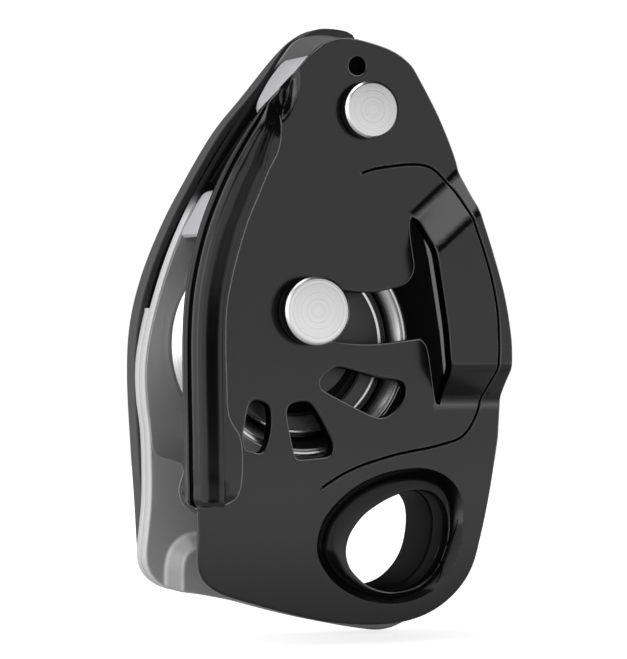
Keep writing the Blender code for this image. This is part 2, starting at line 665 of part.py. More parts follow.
def dish_depth(x, z, rim, edge):
    outer = radial(edge, x, z)
    inner = radial(rim, x, z)
    t = (outer - math.hypot(x, z)) / (outer - inner)
    if t <= 0.0:
        return 0.0
    t = min(t, 1.0)
    return DISH_DEPTH * math.sin(t * math.pi / 2) ** DISH_CURVE


def build_moving_plate():
    hole = spline(HOLE_EDGE, FINE_STEP)
    dish = spline(DISH_EDGE, FINE_STEP)
    collar = offset_loop(hole, -COLLAR_WALL)
    lip_edge = spline(MOVING_LIP_EDGE, COARSE_STEP, closed=False)
    flange = spline(LIP_FLANGE_EDGE, PLATE_STEP, closed=False)
    lip_area = counter_clockwise(flange + list(LIP_AREA_OUTSIDE))

    def lip_parts(x, z):
        gap, height = distance_to(lip_edge, x, z)
        fade = max(0.0, min(1.0, (LIP_FADE_END - height) / (LIP_FADE_END - LIP_FADE_START)))
        fade = fade * fade * (3 - 2 * fade)
        return gap, fade

    def front(x, z):
        if x > DISH_LEFT and z < DISH_TOP:
            return MOVING_FRONT_Y + dish_depth(x, z, hole, dish)
        if x > LIP_RIGHT:
            return MOVING_FRONT_Y - strap_height(x, z)
        if not inside(lip_area, x, z):
            return MOVING_FRONT_Y
        gap, fade = lip_parts(x, z)
        return MOVING_FRONT_Y - table(LIP_FRONT, gap) * fade

    def back(x, z):
        if x > DISH_LEFT and z < DISH_TOP:
            if math.hypot(x, z) < radial(collar, x, z) + COLLAR_ROW_INSET / 10:
                return COLLAR_MEET_Y - FACE_GAP
            return MOVING_INNER_Y + dish_depth(x, z, hole, dish)
        if x > LIP_RIGHT:
            return MOVING_INNER_Y - strap_height(x, z)
        gap, fade = lip_parts(x, z)
        return MOVING_INNER_Y - table(LIP_BACK, gap) * fade * (1.0 if z > LIP_BOTTOM else 0.0)

    slot_radius = math.dist(CAM_AXIS, TOP_AXIS)
    slot_half = AXLE_NECK_R + SLOT_CLEARANCE
    slot_angle = math.degrees(math.atan2(CAM_AXIS[1] - TOP_AXIS[1], CAM_AXIS[0] - TOP_AXIS[0]))
    upper = slot_radius - slot_half - SLOT_UPPER_EXTRA
    void = arc(TOP_AXIS, upper, slot_angle + SLOT_REACH[0], slot_angle, 8)
    void += arc(CAM_AXIS, slot_half, slot_angle + 180.0, slot_angle + 360.0, 11)[1:-1]
    void += arc(TOP_AXIS, slot_radius + slot_half, slot_angle, slot_angle + SLOT_REACH[1], 8)
    void += spline(list(reversed(VOID_EDGE)), FINE_STEP, closed=False)
    outline = spline(MOVING_RIGHT, PLATE_STEP, closed=False)
    outline += lip_edge + spline(MOVING_BOTTOM, PLATE_STEP, closed=False)
    holes = [void, circle(TOP_AXIS, TOP_SHANK_R + RUNNING_FIT, MEDIUM_SEGMENTS)]
    holes.append(circle(KEEPER_HOLE, KEEPER_HOLE_R, SMALL_SEGMENTS))
    holes += [spline(window, FINE_STEP) for window in WINDOWS]
    holes.append(hole)
    sheet = Sheet(outline, front, back, holes)
    sheet.add_chain(offset_loop(hole, -COLLAR_WALL + COLLAR_ROW_INSET))
    sheet.add_chain(offset_loop(hole, -COLLAR_WALL - WALL_SLOPE))
    for share in DISH_ROWS:
        row = []
        for dx, dz in circle((0.0, 0.0), 1.0, DISH_SEGMENTS):
            outer = radial(dish, dx, dz)
            inner = min(outer, radial(collar, dx, dz) + 3 * WALL_SLOPE)
            reach = outer + (inner - outer) * share
            row.append((dx * reach, dz * reach))
        sheet.add_chain(row)
    for shift in (-WALL_SLOPE / 2, WALL_SLOPE / 2):
        wall = offset_loop(lip_area, shift)
        near = [p for p in wall if distance_to(flange, *p)[0] < WALL_SLOPE]
        near = [p for p in near if inside(outline, *p) and distance_to(outline, *p, True)[0] > PLATE_KEEP_OFF]
        sheet.add_chain(near, closed=False)
    normals = []
    for i, point in enumerate(lip_edge):
        before = lip_edge[max(i - 1, 0)]
        after = lip_edge[min(i + 1, len(lip_edge) - 1)]
        along = Vector((after[0] - before[0], after[1] - before[1])).normalized()
        normals.append((-along.y, along.x))
    for gap in LIP_ROWS:
        rows = [(p[0] + n[0] * gap, p[1] + n[1] * gap) for p, n in zip(lip_edge, normals)]
        sheet.add_points(rows, LIP_KEEP_OFF)
    grid = []
    for across in UPPER_FOLD_ROWS:
        for step in range(-1, 8):
            along = step * STRAP_ROW_STEP
            grid.append((STRAP_FOLD_POINT[0] + STRAP_FOLD_NORMAL[0] * across - STRAP_FOLD_NORMAL[1] * along,
                         STRAP_FOLD_POINT[1] + STRAP_FOLD_NORMAL[1] * across + STRAP_FOLD_NORMAL[0] * along))
    for height in LOWER_FOLD_ROWS:
        grid += [(STRAP_LOW_LEFT + STRAP_ROW_STEP * step, STRAP_LOWER_START + height) for step in range(6)]
    sheet.add_points(grid, PLATE_KEEP_OFF)
    sheet.build("moving_side_plate", TOP_AXIS, BLACK_METAL)


def pin(name, centre, axis, look, radius, front_y, back_y, segments=SMALL_SEGMENTS):
    """Plain round pin with small chamfers at both ends."""
    cut = PIN_END_CHAMFER
    profile = [(0.0, front_y), (radius - cut, front_y), (radius, front_y + cut),
               (radius, back_y - cut), (radius - cut, back_y), (0.0, back_y)]
    return turned(name, profile, centre, axis, look, segments)


def headed_pin(name, centre, axis, look, radius, front_y, head_r, head_height):
    """Pin from the back face of the fixed plate, with a low head behind it."""
    cut = PIN_END_CHAMFER
    head_y = FIXED_BACK_Y + PRESS_GAP
    top = head_y + head_height
    profile = [(0.0, front_y), (radius - cut, front_y), (radius, front_y + cut), (radius, head_y),
               (head_r, head_y), (head_r, top - cut), (head_r - cut, top), (0.0, top)]
    return turned(name, profile, centre, axis, look, SMALL_SEGMENTS)


def ring(name, centre, axis, look, inner, outer, front_y, back_y, segments=MEDIUM_SEGMENTS):
    cut = PIN_END_CHAMFER / 2
    profile = [(inner, front_y), (outer - cut, front_y), (outer, front_y + cut),
               (outer, back_y - cut), (outer - cut, back_y), (inner, back_y)]
    return turned(name, profile, centre, axis, look, segments, closed=True)


def build_fixed_plate():
    hole = spline(HOLE_EDGE, FINE_STEP)
    collar = offset_loop(hole, -COLLAR_WALL)
    foot = counter_clockwise(spline(PLATEAU_FOOT, PLATE_STEP))
    seat = counter_clockwise(spline(WEAR_EDGE, PLATE_STEP))

    def front(x, z):
        if inside(seat, x, z):
            return FIXED_INNER_Y + WEAR_THICKNESS + WEAR_SEAT_GAP
        if z < DISH_TOP and math.hypot(x, z) < radial(collar, x, z) + COLLAR_ROW_INSET / 10:
            return COLLAR_MEET_Y + FACE_GAP
        if z < PLATEAU_TOP and inside(foot, x, z):
            return FIXED_INNER_Y - PLATEAU_RISE * eased_ramp(distance_to(foot, x, z, True)[0], PLATEAU_RUN)
        return FIXED_INNER_Y

    pin_turn = (RELEASE_PIN_ANGLE - CAM_LOCK_TURN, RELEASE_PIN_ANGLE)
    bores = [circle(TOP_AXIS, TOP_SHANK_R + PRESS_GAP, MEDIUM_SEGMENTS)]
    bores.append(circle(CAM_AXIS, AXLE_SHANK_R + PRESS_GAP, MEDIUM_SEGMENTS))
    bores.append(arc_slot(CAM_AXIS, RELEASE_PIN_REACH, RELEASE_PIN_R + FACE_GAP, *pin_turn, 9))
    anchor = polar(CAM_AXIS, RELEASE_PIN_REACH, ANCHOR_PIN_ANGLE)
    bores.append(circle(anchor, ANCHOR_PIN_R + PRESS_GAP, SMALL_SEGMENTS))
    bores += [circle(place, WEAR_RIVET_R + PRESS_GAP, SMALL_SEGMENTS) for place in WEAR_RIVETS]
    bores += [circle(place, BRAKE_RIVET_R + PRESS_GAP, SMALL_SEGMENTS) for place in BRAKE_PAD_RIVETS]
    bores += [circle(place, SPACER_PIN_R + PRESS_GAP, SMALL_SEGMENTS) for place in SPACER_PINS]
    sheet = Sheet(spline(FIXED_EDGE, COARSE_STEP), front, flat(FIXED_BACK_Y), [hole], PLATE_CHAMFER, bores)
    sheet.add_chain(offset_loop(hole, -COLLAR_WALL + COLLAR_ROW_INSET))
    sheet.add_chain(offset_loop(hole, -COLLAR_WALL - WALL_SLOPE))
    sheet.add_chain(offset_loop(seat, WALL_SLOPE / 2))
    sheet.add_chain(offset_loop(seat, -WALL_SLOPE / 2))
    for gap in PLATEAU_ROWS:
        sheet.add_points(offset_loop(foot, gap), PLATEAU_KEEP_OFF)
    sheet.build("fixed_side_plate", (0.0, 0.0), GREY_METAL)

    outline = counter_clockwise(spline(FIXED_EDGE, COARSE_STEP))
    first = next(i for i, (x, z) in enumerate(outline) if x < 0.0 and z < BACKING_TOP)
    backing = [(x, z) for x, z in outline[first:] if x < 0.0 or z < BACKING_RIGHT_TOP]
    backing += arc(CAM_AXIS, BACKING_CLEAR_R, *BACKING_ARC, 16)
    backing.append((BACKING_STRIP_X, BACKING_TOP))
    prism("rear_backing_plate", backing, BACKING_FRONT_Y, BACKING_BACK_Y, (0.0, 0.0), GREY_METAL,
          [offset_loop(hole, -BACKING_HOLE_MARGIN)])
    wear = offset_loop(seat, WEAR_SEAT_GAP)
    prism("wear_plate", wear, FIXED_INNER_Y, FIXED_INNER_Y + WEAR_THICKNESS, (0.0, 0.0), STEEL,
          [circle(place, WEAR_RIVET_R + PRESS_GAP, SMALL_SEGMENTS) for place in WEAR_RIVETS], WEAR_CHAMFER)
    for label, place in zip(("lower", "upper"), WEAR_RIVETS):
        front_y = FIXED_INNER_Y - PRESS_GAP
        top = front_y - WEAR_RIVET_HEAD_HEIGHT
        cut = WEAR_RIVET_HEAD_HEIGHT / 2
        profile = [(0.0, top), (WEAR_RIVET_HEAD_R - cut, top), (WEAR_RIVET_HEAD_R, top + cut),
                   (WEAR_RIVET_HEAD_R, front_y), (WEAR_RIVET_R, front_y), (WEAR_RIVET_R, FIXED_BACK_Y),
                   (0.0, FIXED_BACK_Y)]
        turned("wear_plate_rivet_" + label, profile, place, (0.0, 0.0), STEEL, SMALL_SEGMENTS)


def build_frame_blocks():
    back = FIXED_INNER_Y - BLOCK_BACK_GAP
    pad_holes = [circle(place, BRAKE_RIVET_R + PRESS_GAP, SMALL_SEGMENTS) for place in BRAKE_PAD_RIVETS]
    prism("brake_pad", spline(BRAKE_PAD_EDGE, FINE_STEP), BRAKE_PAD_FRONT_Y, back, (0.0, 0.0), STEEL, pad_holes)
    for label, place in zip(("lower", "upper"), BRAKE_PAD_RIVETS):
        headed_pin("brake_pad_rivet_" + label, place, (0.0, 0.0), STEEL, BRAKE_RIVET_R,
                   FIXED_INNER_Y - PIN_DEPTH, BRAKE_RIVET_R + REAR_HEAD_EXTRA_R, REAR_HEAD_HEIGHT)
    washer_front = MOVING_INNER_Y + FACE_GAP
    washer_back = washer_front + SLIP_WASHER_THICKNESS
    ring("pivot_slip_washer", TOP_AXIS, (0.0, 0.0), BLACK_NYLON, TOP_SHANK_R + RUNNING_FIT, SLIP_WASHER_R,
         washer_front, washer_back)
    block_holes = [circle(TOP_AXIS, TOP_SHANK_R + RUNNING_FIT, MEDIUM_SEGMENTS)]
    block_holes += [circle(place, SPACER_PIN_R + PRESS_GAP, SMALL_SEGMENTS) for place in SPACER_PINS]
    outline = spline(SPACER_EDGE, PLATE_STEP)
    prism("top_spacer_block", outline, washer_back + FACE_GAP, back, (0.0, 0.0), STEEL, block_holes)
    for label, place in zip(("left", "right"), SPACER_PINS):
        headed_pin("spacer_pin_" + label, place, (0.0, 0.0), STEEL, SPACER_PIN_R,
                   FIXED_INNER_Y - PIN_DEPTH, SPACER_PIN_R + REAR_HEAD_EXTRA_R, REAR_HEAD_HEIGHT)
    liner = list(LINER_OUTER) + arc(LINER_WHEEL_CENTRE, LINER_WHEEL_R, *LINER_ARC, MEDIUM_SEGMENTS)
    liner_back = FIXED_INNER_Y - PRESS_GAP
    prism("rope_channel_liner", liner, liner_back - LINER_THICKNESS, liner_back, (0.0, 0.0), BLACK_NYLON,
          chamfer=LINER_CHAMFER)


def build_rivets_and_axle():
    head_y = MOVING_FRONT_Y - FACE_GAP
    top = head_y - TOP_HEAD_HEIGHT
    cut = AXLE_HEAD_CHAMFER
    tail_y = FIXED_BACK_Y + PRESS_GAP
    tail_end = tail_y + TOP_TAIL_HEIGHT
    profile = [(0.0, top), (TOP_HEAD_R - cut, top), (TOP_HEAD_R, top + cut), (TOP_HEAD_R, head_y),
               (TOP_SHANK_R, head_y), (TOP_SHANK_R, tail_y), (TOP_TAIL_R, tail_y),
               (TOP_TAIL_R, tail_end - cut), (TOP_TAIL_R - cut, tail_end), (0.0, tail_end)]
    turned("top_pivot_rivet", profile, TOP_AXIS, TOP_AXIS, STEEL, LARGE_SEGMENTS)
    top = head_y - AXLE_HEAD_HEIGHT
    neck_end = CAM_DISC_FRONT_Y - FACE_GAP
    washer_front = ARM_BACK_Y + FACE_GAP
    washer_back = washer_front + TAIL_WASHER_THICKNESS
    tail_y = washer_back + PRESS_GAP
    tail_end = tail_y + AXLE_TAIL_HEIGHT
    profile = [(0.0, top), (AXLE_HEAD_R - cut, top), (AXLE_HEAD_R, top + cut), (AXLE_HEAD_R, head_y),
               (AXLE_NECK_R, head_y), (AXLE_NECK_R, neck_end), (AXLE_SHANK_R, neck_end), (AXLE_SHANK_R, tail_y),
               (AXLE_TAIL_R, tail_y), (AXLE_TAIL_R, tail_end - cut), (AXLE_TAIL_R - cut, tail_end),
               (0.0, tail_end)]
    turned("cam_axle", profile, CAM_AXIS, CAM_AXIS, STEEL, LARGE_SEGMENTS)
    ring("axle_tail_washer", CAM_AXIS, CAM_AXIS, STEEL, AXLE_SHANK_R + PRESS_GAP, TAIL_WASHER_R,
         washer_front, washer_back)
    anchor = polar(CAM_AXIS, RELEASE_PIN_REACH, ANCHOR_PIN_ANGLE)
    pin("spring_anchor_pin", anchor, CAM_AXIS, STEEL, ANCHOR_PIN_R, CAM_BOSS_BACK_Y + FACE_GAP, FIXED_BACK_Y)


def build_cam():
    disc_back = CAM_DISC_FRONT_Y + CAM_DISC_THICKNESS

    def back(x, z):
        if math.dist((x, z), CAM_AXIS) < CAM_HUB_R - WALL_SLOPE / 2:
            return CAM_HUB_BACK_Y
        if math.dist((x, z), WHEEL_AXIS) < CAM_BOSS_R - WALL_SLOPE / 2:
            return CAM_BOSS_BACK_Y
        return disc_back

    release = polar(CAM_AXIS, RELEASE_PIN_REACH, RELEASE_PIN_ANGLE)
    window_mid = sum(CAM_WINDOW_R) / 2
    window_half = (CAM_WINDOW_R[1] - CAM_WINDOW_R[0]) / 2
    bores = [circle(CAM_AXIS, AXLE_SHANK_R + RUNNING_FIT, MEDIUM_SEGMENTS)]
    bores.append(circle(release, RELEASE_PIN_R + PRESS_GAP, SMALL_SEGMENTS))
    window = arc_slot(WHEEL_AXIS, window_mid, window_half, *CAM_WINDOW_ANGLES, 18)
    outline = circle(WHEEL_AXIS, CAM_DISC_R, LARGE_SEGMENTS)
    sheet = Sheet(outline, flat(CAM_DISC_FRONT_Y), back, [window], CAM_CHAMFER, bores)
    for radius in (CAM_HUB_R, CAM_HUB_R - WALL_SLOPE):
        sheet.add_chain(circle(CAM_AXIS, radius, MEDIUM_SEGMENTS))
    for radius in (CAM_BOSS_R, CAM_BOSS_R - WALL_SLOPE):
        sheet.add_chain(circle(WHEEL_AXIS, radius, LARGE_SEGMENTS))
    sheet.build("cam_carrier", CAM_AXIS, BLACK_METAL)
    pin("cam_release_pin", release, CAM_AXIS, STEEL, RELEASE_PIN_R, CAM_DISC_FRONT_Y + RELEASE_PIN_SINK,
        ARM_BACK_Y - RELEASE_PIN_SHORT)
    ring("bearing_collar", WHEEL_AXIS, CAM_AXIS, DARK_STEEL, CAM_BOSS_R + PRESS_GAP, BALL_PITCH_R - RING_LAND,
         RING_HALF_WIDTH + PRESS_GAP, CAM_BOSS_BACK_Y - COLLAR_RECESS, LARGE_SEGMENTS)


def raceway(side):
    """Groove points for a bearing ring; side is -1 on the inner ring and 1 on the outer."""
    radius = BALL_R + BALL_GAP
    half = math.acos(RING_LAND / radius)
    points = []
    for i in range(6):
        angle = -half + 2 * half * i / 5
        points.append((BALL_PITCH_R + side * radius * math.cos(angle), radius * math.sin(angle)))
    return points


def build_bearing():
    inner = [(CAM_BOSS_R + PRESS_GAP, -RING_HALF_WIDTH), (BALL_PITCH_R - RING_LAND, -RING_HALF_WIDTH)]
    inner += raceway(-1)
    inner += [(BALL_PITCH_R - RING_LAND, RING_HALF_WIDTH), (CAM_BOSS_R + PRESS_GAP, RING_HALF_WIDTH)]
    turned("bearing_inner_ring", inner, WHEEL_AXIS, CAM_AXIS, DARK_STEEL, LARGE_SEGMENTS, closed=True)
    outer = [(WHEEL_BORE_R - PRESS_GAP, -RING_HALF_WIDTH), (BALL_PITCH_R + RING_LAND, -RING_HALF_WIDTH)]
    outer += raceway(1)
    outer += [(BALL_PITCH_R + RING_LAND, RING_HALF_WIDTH), (WHEEL_BORE_R - PRESS_GAP, RING_HALF_WIDTH)]
    turned("bearing_outer_ring", outer, WHEEL_AXIS, WHEEL_AXIS, STEEL, LARGE_SEGMENTS, closed=True)
    cage = ring("bearing_cage", WHEEL_AXIS, WHEEL_AXIS, DARK_STEEL, BALL_PITCH_R - CAGE_WALL,
                BALL_PITCH_R + CAGE_WALL, -CAGE_HALF_WIDTH, CAGE_HALF_WIDTH, LARGE_SEGMENTS)
    half_ball = [(BALL_R * math.sin(math.pi * i / 6), -BALL_R * math.cos(math.pi * i / 6)) for i in range(7)]
    verts = []
    faces = []
    sides = CAGE_POCKET_SIDES
    for i in range(BALL_COUNT):
        angle = 360.0 * i / BALL_COUNT
        place = polar(WHEEL_AXIS, BALL_PITCH_R, angle)
        turned("bearing_ball_%02d" % (i + 1), half_ball, place, WHEEL_AXIS, STEEL, 12)
        first = len(verts)
        out = Vector((math.cos(math.radians(angle)), 0.0, math.sin(math.radians(angle))))
        across = Vector((-out.z, 0.0, out.x))
        for reach in (BALL_PITCH_R - 2 * CAGE_WALL, BALL_PITCH_R + 2 * CAGE_WALL):
            for k in range(sides):
                turn = 2 * math.pi * (k + 0.5) / sides
                offset = across * math.cos(turn) + Vector((0.0, math.sin(turn), 0.0))
                verts.append(Vector((WHEEL_AXIS[0], 0.0, WHEEL_AXIS[1])) + out * reach + offset * CAGE_POCKET_R)
        for k in range(sides):
            after = (k + 1) % sides
            faces.append((first + k, first + after, first + sides + after, first + sides + k))
        faces.append(tuple(first + k for k in reversed(range(sides))))
        faces.append(tuple(first + sides + k for k in range(sides)))
    cutter = finish_mesh("cage_pocket_cutter", verts, faces, WHEEL_AXIS, DARK_STEEL)
    cutter.hide_render = True
    cutter.display_type = "WIRE"
    cut = cage.modifiers.new("pockets", "BOOLEAN")
    cut.operation = "DIFFERENCE"
    cut.solver = "EXACT"
    cut.object = cutter


def build_wheel():
    rim = WHEEL_R - RIM_WIDTH
    front = WHEEL_FRONT_Y
    back = WHEEL_BACK_Y
    step_in, step_down = RIM_STEP
    hub_out, hub_down = WHEEL_HUB_CHAMFER
    flank = [(GROOVE_R + out, depth) for out, depth in GROOVE_FLANK]
    profile = [
        (WHEEL_BORE_R, -WHEEL_HUB_Y), (WHEEL_HUB_R, -WHEEL_HUB_Y),
        (WHEEL_HUB_R + hub_out, -WHEEL_HUB_Y - hub_down), (rim - step_in, front + step_down), (rim, front),
        (WHEEL_R - RIM_CHAMFER, front), (WHEEL_R, front + RIM_CHAMFER), (WHEEL_R, front + RIM_SHOULDER)]
    profile += [(r, -depth) for r, depth in reversed(flank)] + [(GROOVE_R, 0.0)] + flank
    profile += [
        (WHEEL_R, back - RIM_SHOULDER), (WHEEL_R, back - RIM_CHAMFER), (WHEEL_R - RIM_CHAMFER, back), (rim, back),
        (WHEEL_HUB_R + hub_out, WHEEL_HUB_Y + hub_down), (WHEEL_HUB_R, WHEEL_HUB_Y), (WHEEL_BORE_R, WHEEL_HUB_Y)]
    turned("rope_wheel", profile, WHEEL_AXIS, WHEEL_AXIS, STEEL, LARGE_SEGMENTS, closed=True)


def build_cam_spring():
    """Torsion spring from the fixed anchor pin to the release pin, around the cam hub."""
    reach = RELEASE_PIN_REACH
    touch = SPRING_WIRE_R + FACE_GAP
    leg_a = RELEASE_PIN_ANGLE - math.degrees((RELEASE_PIN_R + touch) / reach)
    leg_b = ANCHOR_PIN_ANGLE + math.degrees((ANCHOR_PIN_R + touch) / reach)
    start = leg_a + SPRING_BEND_ANGLE
    stop = leg_b - SPRING_BEND_ANGLE + 360.0 * SPRING_WHOLE_TURNS
    low_y = CAM_BOSS_BACK_Y + FACE_GAP + SPRING_WIRE_R
    count = round((stop - start) / 360.0 * SPRING_POINTS_PER_TURN)
    path = []
    leg_start = SPRING_COIL_R + SPRING_LEG_START * SPRING_WIRE_R
    bend = SPRING_COIL_R + SPRING_BEND_REACH * SPRING_WIRE_R
    ease = SPRING_BEND_ANGLE * SPRING_BEND_SHARE
    for radius in (SPRING_LEG_END_R, leg_start):
        x, z = polar(CAM_AXIS, radius, leg_a)
        path.append((x, low_y, z))
    x, z = polar(CAM_AXIS, bend, leg_a + ease)
    path.append((x, low_y, z))
    for i in range(count + 1):
        angle = start + (stop - start) * i / count
        x, z = polar(CAM_AXIS, SPRING_COIL_R, angle)
        path.append((x, low_y + SPRING_PITCH * (angle - start) / 360.0, z))
    high_y = path[-1][1]
    x, z = polar(CAM_AXIS, bend, leg_b - ease)
    path.append((x, high_y, z))
    for radius in (leg_start, SPRING_LEG_END_R):
        x, z = polar(CAM_AXIS, radius, leg_b)
        path.append((x, high_y, z))
    tube("cam_return_spring", path, SPRING_WIRE_R, SPRING_SIDES, CAM_AXIS, STEEL)
    print("least gap between spring curls, mm: %.2f" % (SPRING_PITCH - 2 * SPRING_WIRE_R))


def build_release_arm():
    heading = math.degrees(math.atan2(LEVER_AXIS[1] - CAM_AXIS[1], LEVER_AXIS[0] - CAM_AXIS[0]))
    spread = math.degrees(math.acos((ARM_HUB_R - ARM_END_R) / math.dist(CAM_AXIS, LEVER_AXIS)))
    outline = arc(CAM_AXIS, ARM_HUB_R, heading + spread, heading + 360.0 - spread, 20)
    outline += arc(LEVER_AXIS, ARM_END_R, heading - spread, heading + spread, 9)
    seat_r = LEVER_RIVET_FOOT_R + RUNNING_FIT
    stop_pin = polar(LEVER_AXIS, LEVER_STOP_REACH, LEVER_STOP_ANGLE)

    def front(x, z):
        return ARM_FRONT_Y + (LEVER_RIVET_SEAT if math.dist((x, z), LEVER_AXIS) < seat_r else 0.0)

    low = RELEASE_PIN_ANGLE - max(CAM_LOCK_TURN, ARM_TURN)
    high = RELEASE_PIN_ANGLE + ARM_SLOT_SPARE
    bores = [circle(CAM_AXIS, AXLE_SHANK_R + RUNNING_FIT, MEDIUM_SEGMENTS)]
    bores.append(arc_slot(CAM_AXIS, RELEASE_PIN_REACH, RELEASE_PIN_R + FACE_GAP, low, high, 10))
    bores.append(circle(LEVER_AXIS, LEVER_RIVET_R + PRESS_GAP, MEDIUM_SEGMENTS))
    bores.append(circle(stop_pin, LEVER_STOP_R + PRESS_GAP, SMALL_SEGMENTS))
    sheet = Sheet(outline, front, flat(ARM_BACK_Y), (), ARM_CHAMFER, bores)
    for radius in (seat_r - WALL_SLOPE / 2, seat_r + WALL_SLOPE / 2):
        sheet.add_chain(circle(LEVER_AXIS, radius, MEDIUM_SEGMENTS))
    sheet.build("release_arm", CAM_AXIS, DARK_STEEL)
    foot = ARM_FRONT_Y + LEVER_RIVET_SINK
    foot_end = ARM_FRONT_Y + LEVER_RIVET_SEAT - PRESS_GAP
    head_y = LEVER_FRONT_Y + LEVER_THICKNESS + FACE_GAP
    top = head_y + LEVER_RIVET_HEAD_HEIGHT
    cut_in, cut_down = LEVER_RIVET_HEAD_CHAMFER
    profile = [(0.0, foot), (LEVER_RIVET_FOOT_R, foot), (LEVER_RIVET_FOOT_R, foot_end), (LEVER_RIVET_R, foot_end),
               (LEVER_RIVET_R, head_y), (LEVER_RIVET_HEAD_R, head_y), (LEVER_RIVET_HEAD_R, top - cut_down),
               (LEVER_RIVET_HEAD_R - cut_in, top), (0.0, top)]
    turned("lever_hinge_rivet", profile, LEVER_AXIS, CAM_AXIS, STEEL, MEDIUM_SEGMENTS)
    pin("lever_stop_pin", stop_pin, CAM_AXIS, STEEL, LEVER_STOP_R, ARM_FRONT_Y + LEVER_STOP_SINK,
        LEVER_FRONT_Y + LEVER_STOP_DEPTH - FACE_GAP)


def build_lever():
    outline = counter_clockwise(spline(LEVER_EDGE_LOOP, COARSE_STEP))
    pockets = [counter_clockwise(spline(pocket, COARSE_STEP)) for pocket in LEVER_POCKETS]
    stop_low = LEVER_STOP_ANGLE - LEVER_TURN
    groove = arc_slot(LEVER_AXIS, LEVER_STOP_REACH, LEVER_STOP_R + FACE_GAP, stop_low, LEVER_STOP_ANGLE, 12)
    groove = counter_clockwise(groove)

    def front(x, z):
        if inside(groove, x, z):
            return LEVER_FRONT_Y + LEVER_STOP_DEPTH
        if any(inside(pocket, x, z) for pocket in pockets):
            return LEVER_FRONT_Y + LEVER_POCKET_DEPTH
        return LEVER_FRONT_Y

    def back(x, z):
        gap = distance_to(outline, x, z, True)[0] if inside(outline, x, z) else 0.0
        crown = math.sin(math.pi / 2 * min(1.0, gap / LEVER_CROWN_RUN))
        return LEVER_FRONT_Y + LEVER_EDGE + (LEVER_THICKNESS - LEVER_EDGE) * crown

    bores = [circle(LEVER_AXIS, LEVER_BUSH_R + PRESS_GAP, MEDIUM_SEGMENTS)]
    sheet = Sheet(outline, front, back, (), LEVER_CHAMFER, bores)
    for gap in (LEVER_CROWN_ROW, LEVER_CROWN_RUN):
        sheet.add_points(offset_loop(outline, gap), gap - LIP_KEEP_OFF)
    for pocket in pockets + [groove]:
        sheet.add_chain(offset_loop(pocket, WALL_SLOPE / 2))
        sheet.add_chain(offset_loop(pocket, -WALL_SLOPE / 2))
    sheet.build("handle_lever", LEVER_AXIS, BLACK_NYLON)
    ring("lever_bush", LEVER_AXIS, LEVER_AXIS, STEEL, LEVER_RIVET_R + RUNNING_FIT, LEVER_BUSH_R,
         LEVER_FRONT_Y, LEVER_FRONT_Y + LEVER_THICKNESS)


clear_scene()
build_moving_plate()
build_fixed_plate()
build_frame_blocks()
build_rivets_and_axle()
build_cam()
build_bearing()
build_wheel()
build_cam_spring()
build_release_arm()
build_lever()
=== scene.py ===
"""Looks of the cam-assisted belay device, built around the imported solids.

Lengths are in millimetres in this file and become metres when a piece is made.
Places are X and Z in the solids' own frame; Y is depth, from the moving plate to the lever.
"""

import math

import bmesh
import bpy
import numpy as np
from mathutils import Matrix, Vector


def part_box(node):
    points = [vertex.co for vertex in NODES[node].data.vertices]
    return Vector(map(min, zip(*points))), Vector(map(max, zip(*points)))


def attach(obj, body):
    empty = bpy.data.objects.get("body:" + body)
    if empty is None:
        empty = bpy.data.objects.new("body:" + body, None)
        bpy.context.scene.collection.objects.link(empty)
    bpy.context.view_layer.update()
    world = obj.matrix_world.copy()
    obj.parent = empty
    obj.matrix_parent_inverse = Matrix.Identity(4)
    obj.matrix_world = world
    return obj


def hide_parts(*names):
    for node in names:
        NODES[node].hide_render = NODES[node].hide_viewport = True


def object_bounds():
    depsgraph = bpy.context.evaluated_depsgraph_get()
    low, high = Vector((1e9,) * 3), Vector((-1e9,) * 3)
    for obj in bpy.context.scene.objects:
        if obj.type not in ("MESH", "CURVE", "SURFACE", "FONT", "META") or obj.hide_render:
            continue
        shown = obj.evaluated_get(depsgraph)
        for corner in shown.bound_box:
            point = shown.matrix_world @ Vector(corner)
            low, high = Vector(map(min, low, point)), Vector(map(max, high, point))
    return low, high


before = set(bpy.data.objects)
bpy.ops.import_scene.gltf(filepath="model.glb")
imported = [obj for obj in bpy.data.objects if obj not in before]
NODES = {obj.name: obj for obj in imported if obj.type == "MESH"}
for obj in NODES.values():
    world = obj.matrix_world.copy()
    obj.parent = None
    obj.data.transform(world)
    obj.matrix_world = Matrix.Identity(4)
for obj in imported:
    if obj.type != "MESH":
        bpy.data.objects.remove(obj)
solid_low, solid_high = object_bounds()

MM = 0.001


def low(node):
    """Lowest corner of a solid, in millimetres."""
    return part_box(node)[0] / MM


def high(node):
    """Highest corner of a solid, in millimetres."""
    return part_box(node)[1] / MM


def middle(node):
    """Centre of a round solid, as X and Z in millimetres."""
    centre = (low(node) + high(node)) / 2
    return centre.x, centre.z


# Axes of the moving pieces
CAM_AXIS = middle("cam_axle")
TOP_AXIS = middle("top_pivot_rivet")
WHEEL_AXIS = middle("rope_wheel")
LEVER_AXIS = middle("lever_hinge_rivet")

# Depths of the two side plates
PLATE = 3.0
MOVING_FRONT = -12.0
MOVING_BACK = MOVING_FRONT + PLATE
FIXED_FRONT = 9.0
FIXED_BACK = FIXED_FRONT + PLATE
AXLE_BORE = 3.1
COLLAR_GAP = 0.3
COLLAR_WALL = 2.0
COLLAR_FROM = 5.0
DISH_DEPTH = 4.5
DISH_CURVE = 2.7
DISH_RINGS = (0.03, 0.08, 0.14, 0.21, 0.29, 0.38, 0.48, 0.6, 0.73, 0.87)
ROUND_POINTS = 160
DISH_LEFT = -18.5
DISH_TOP = 20.0

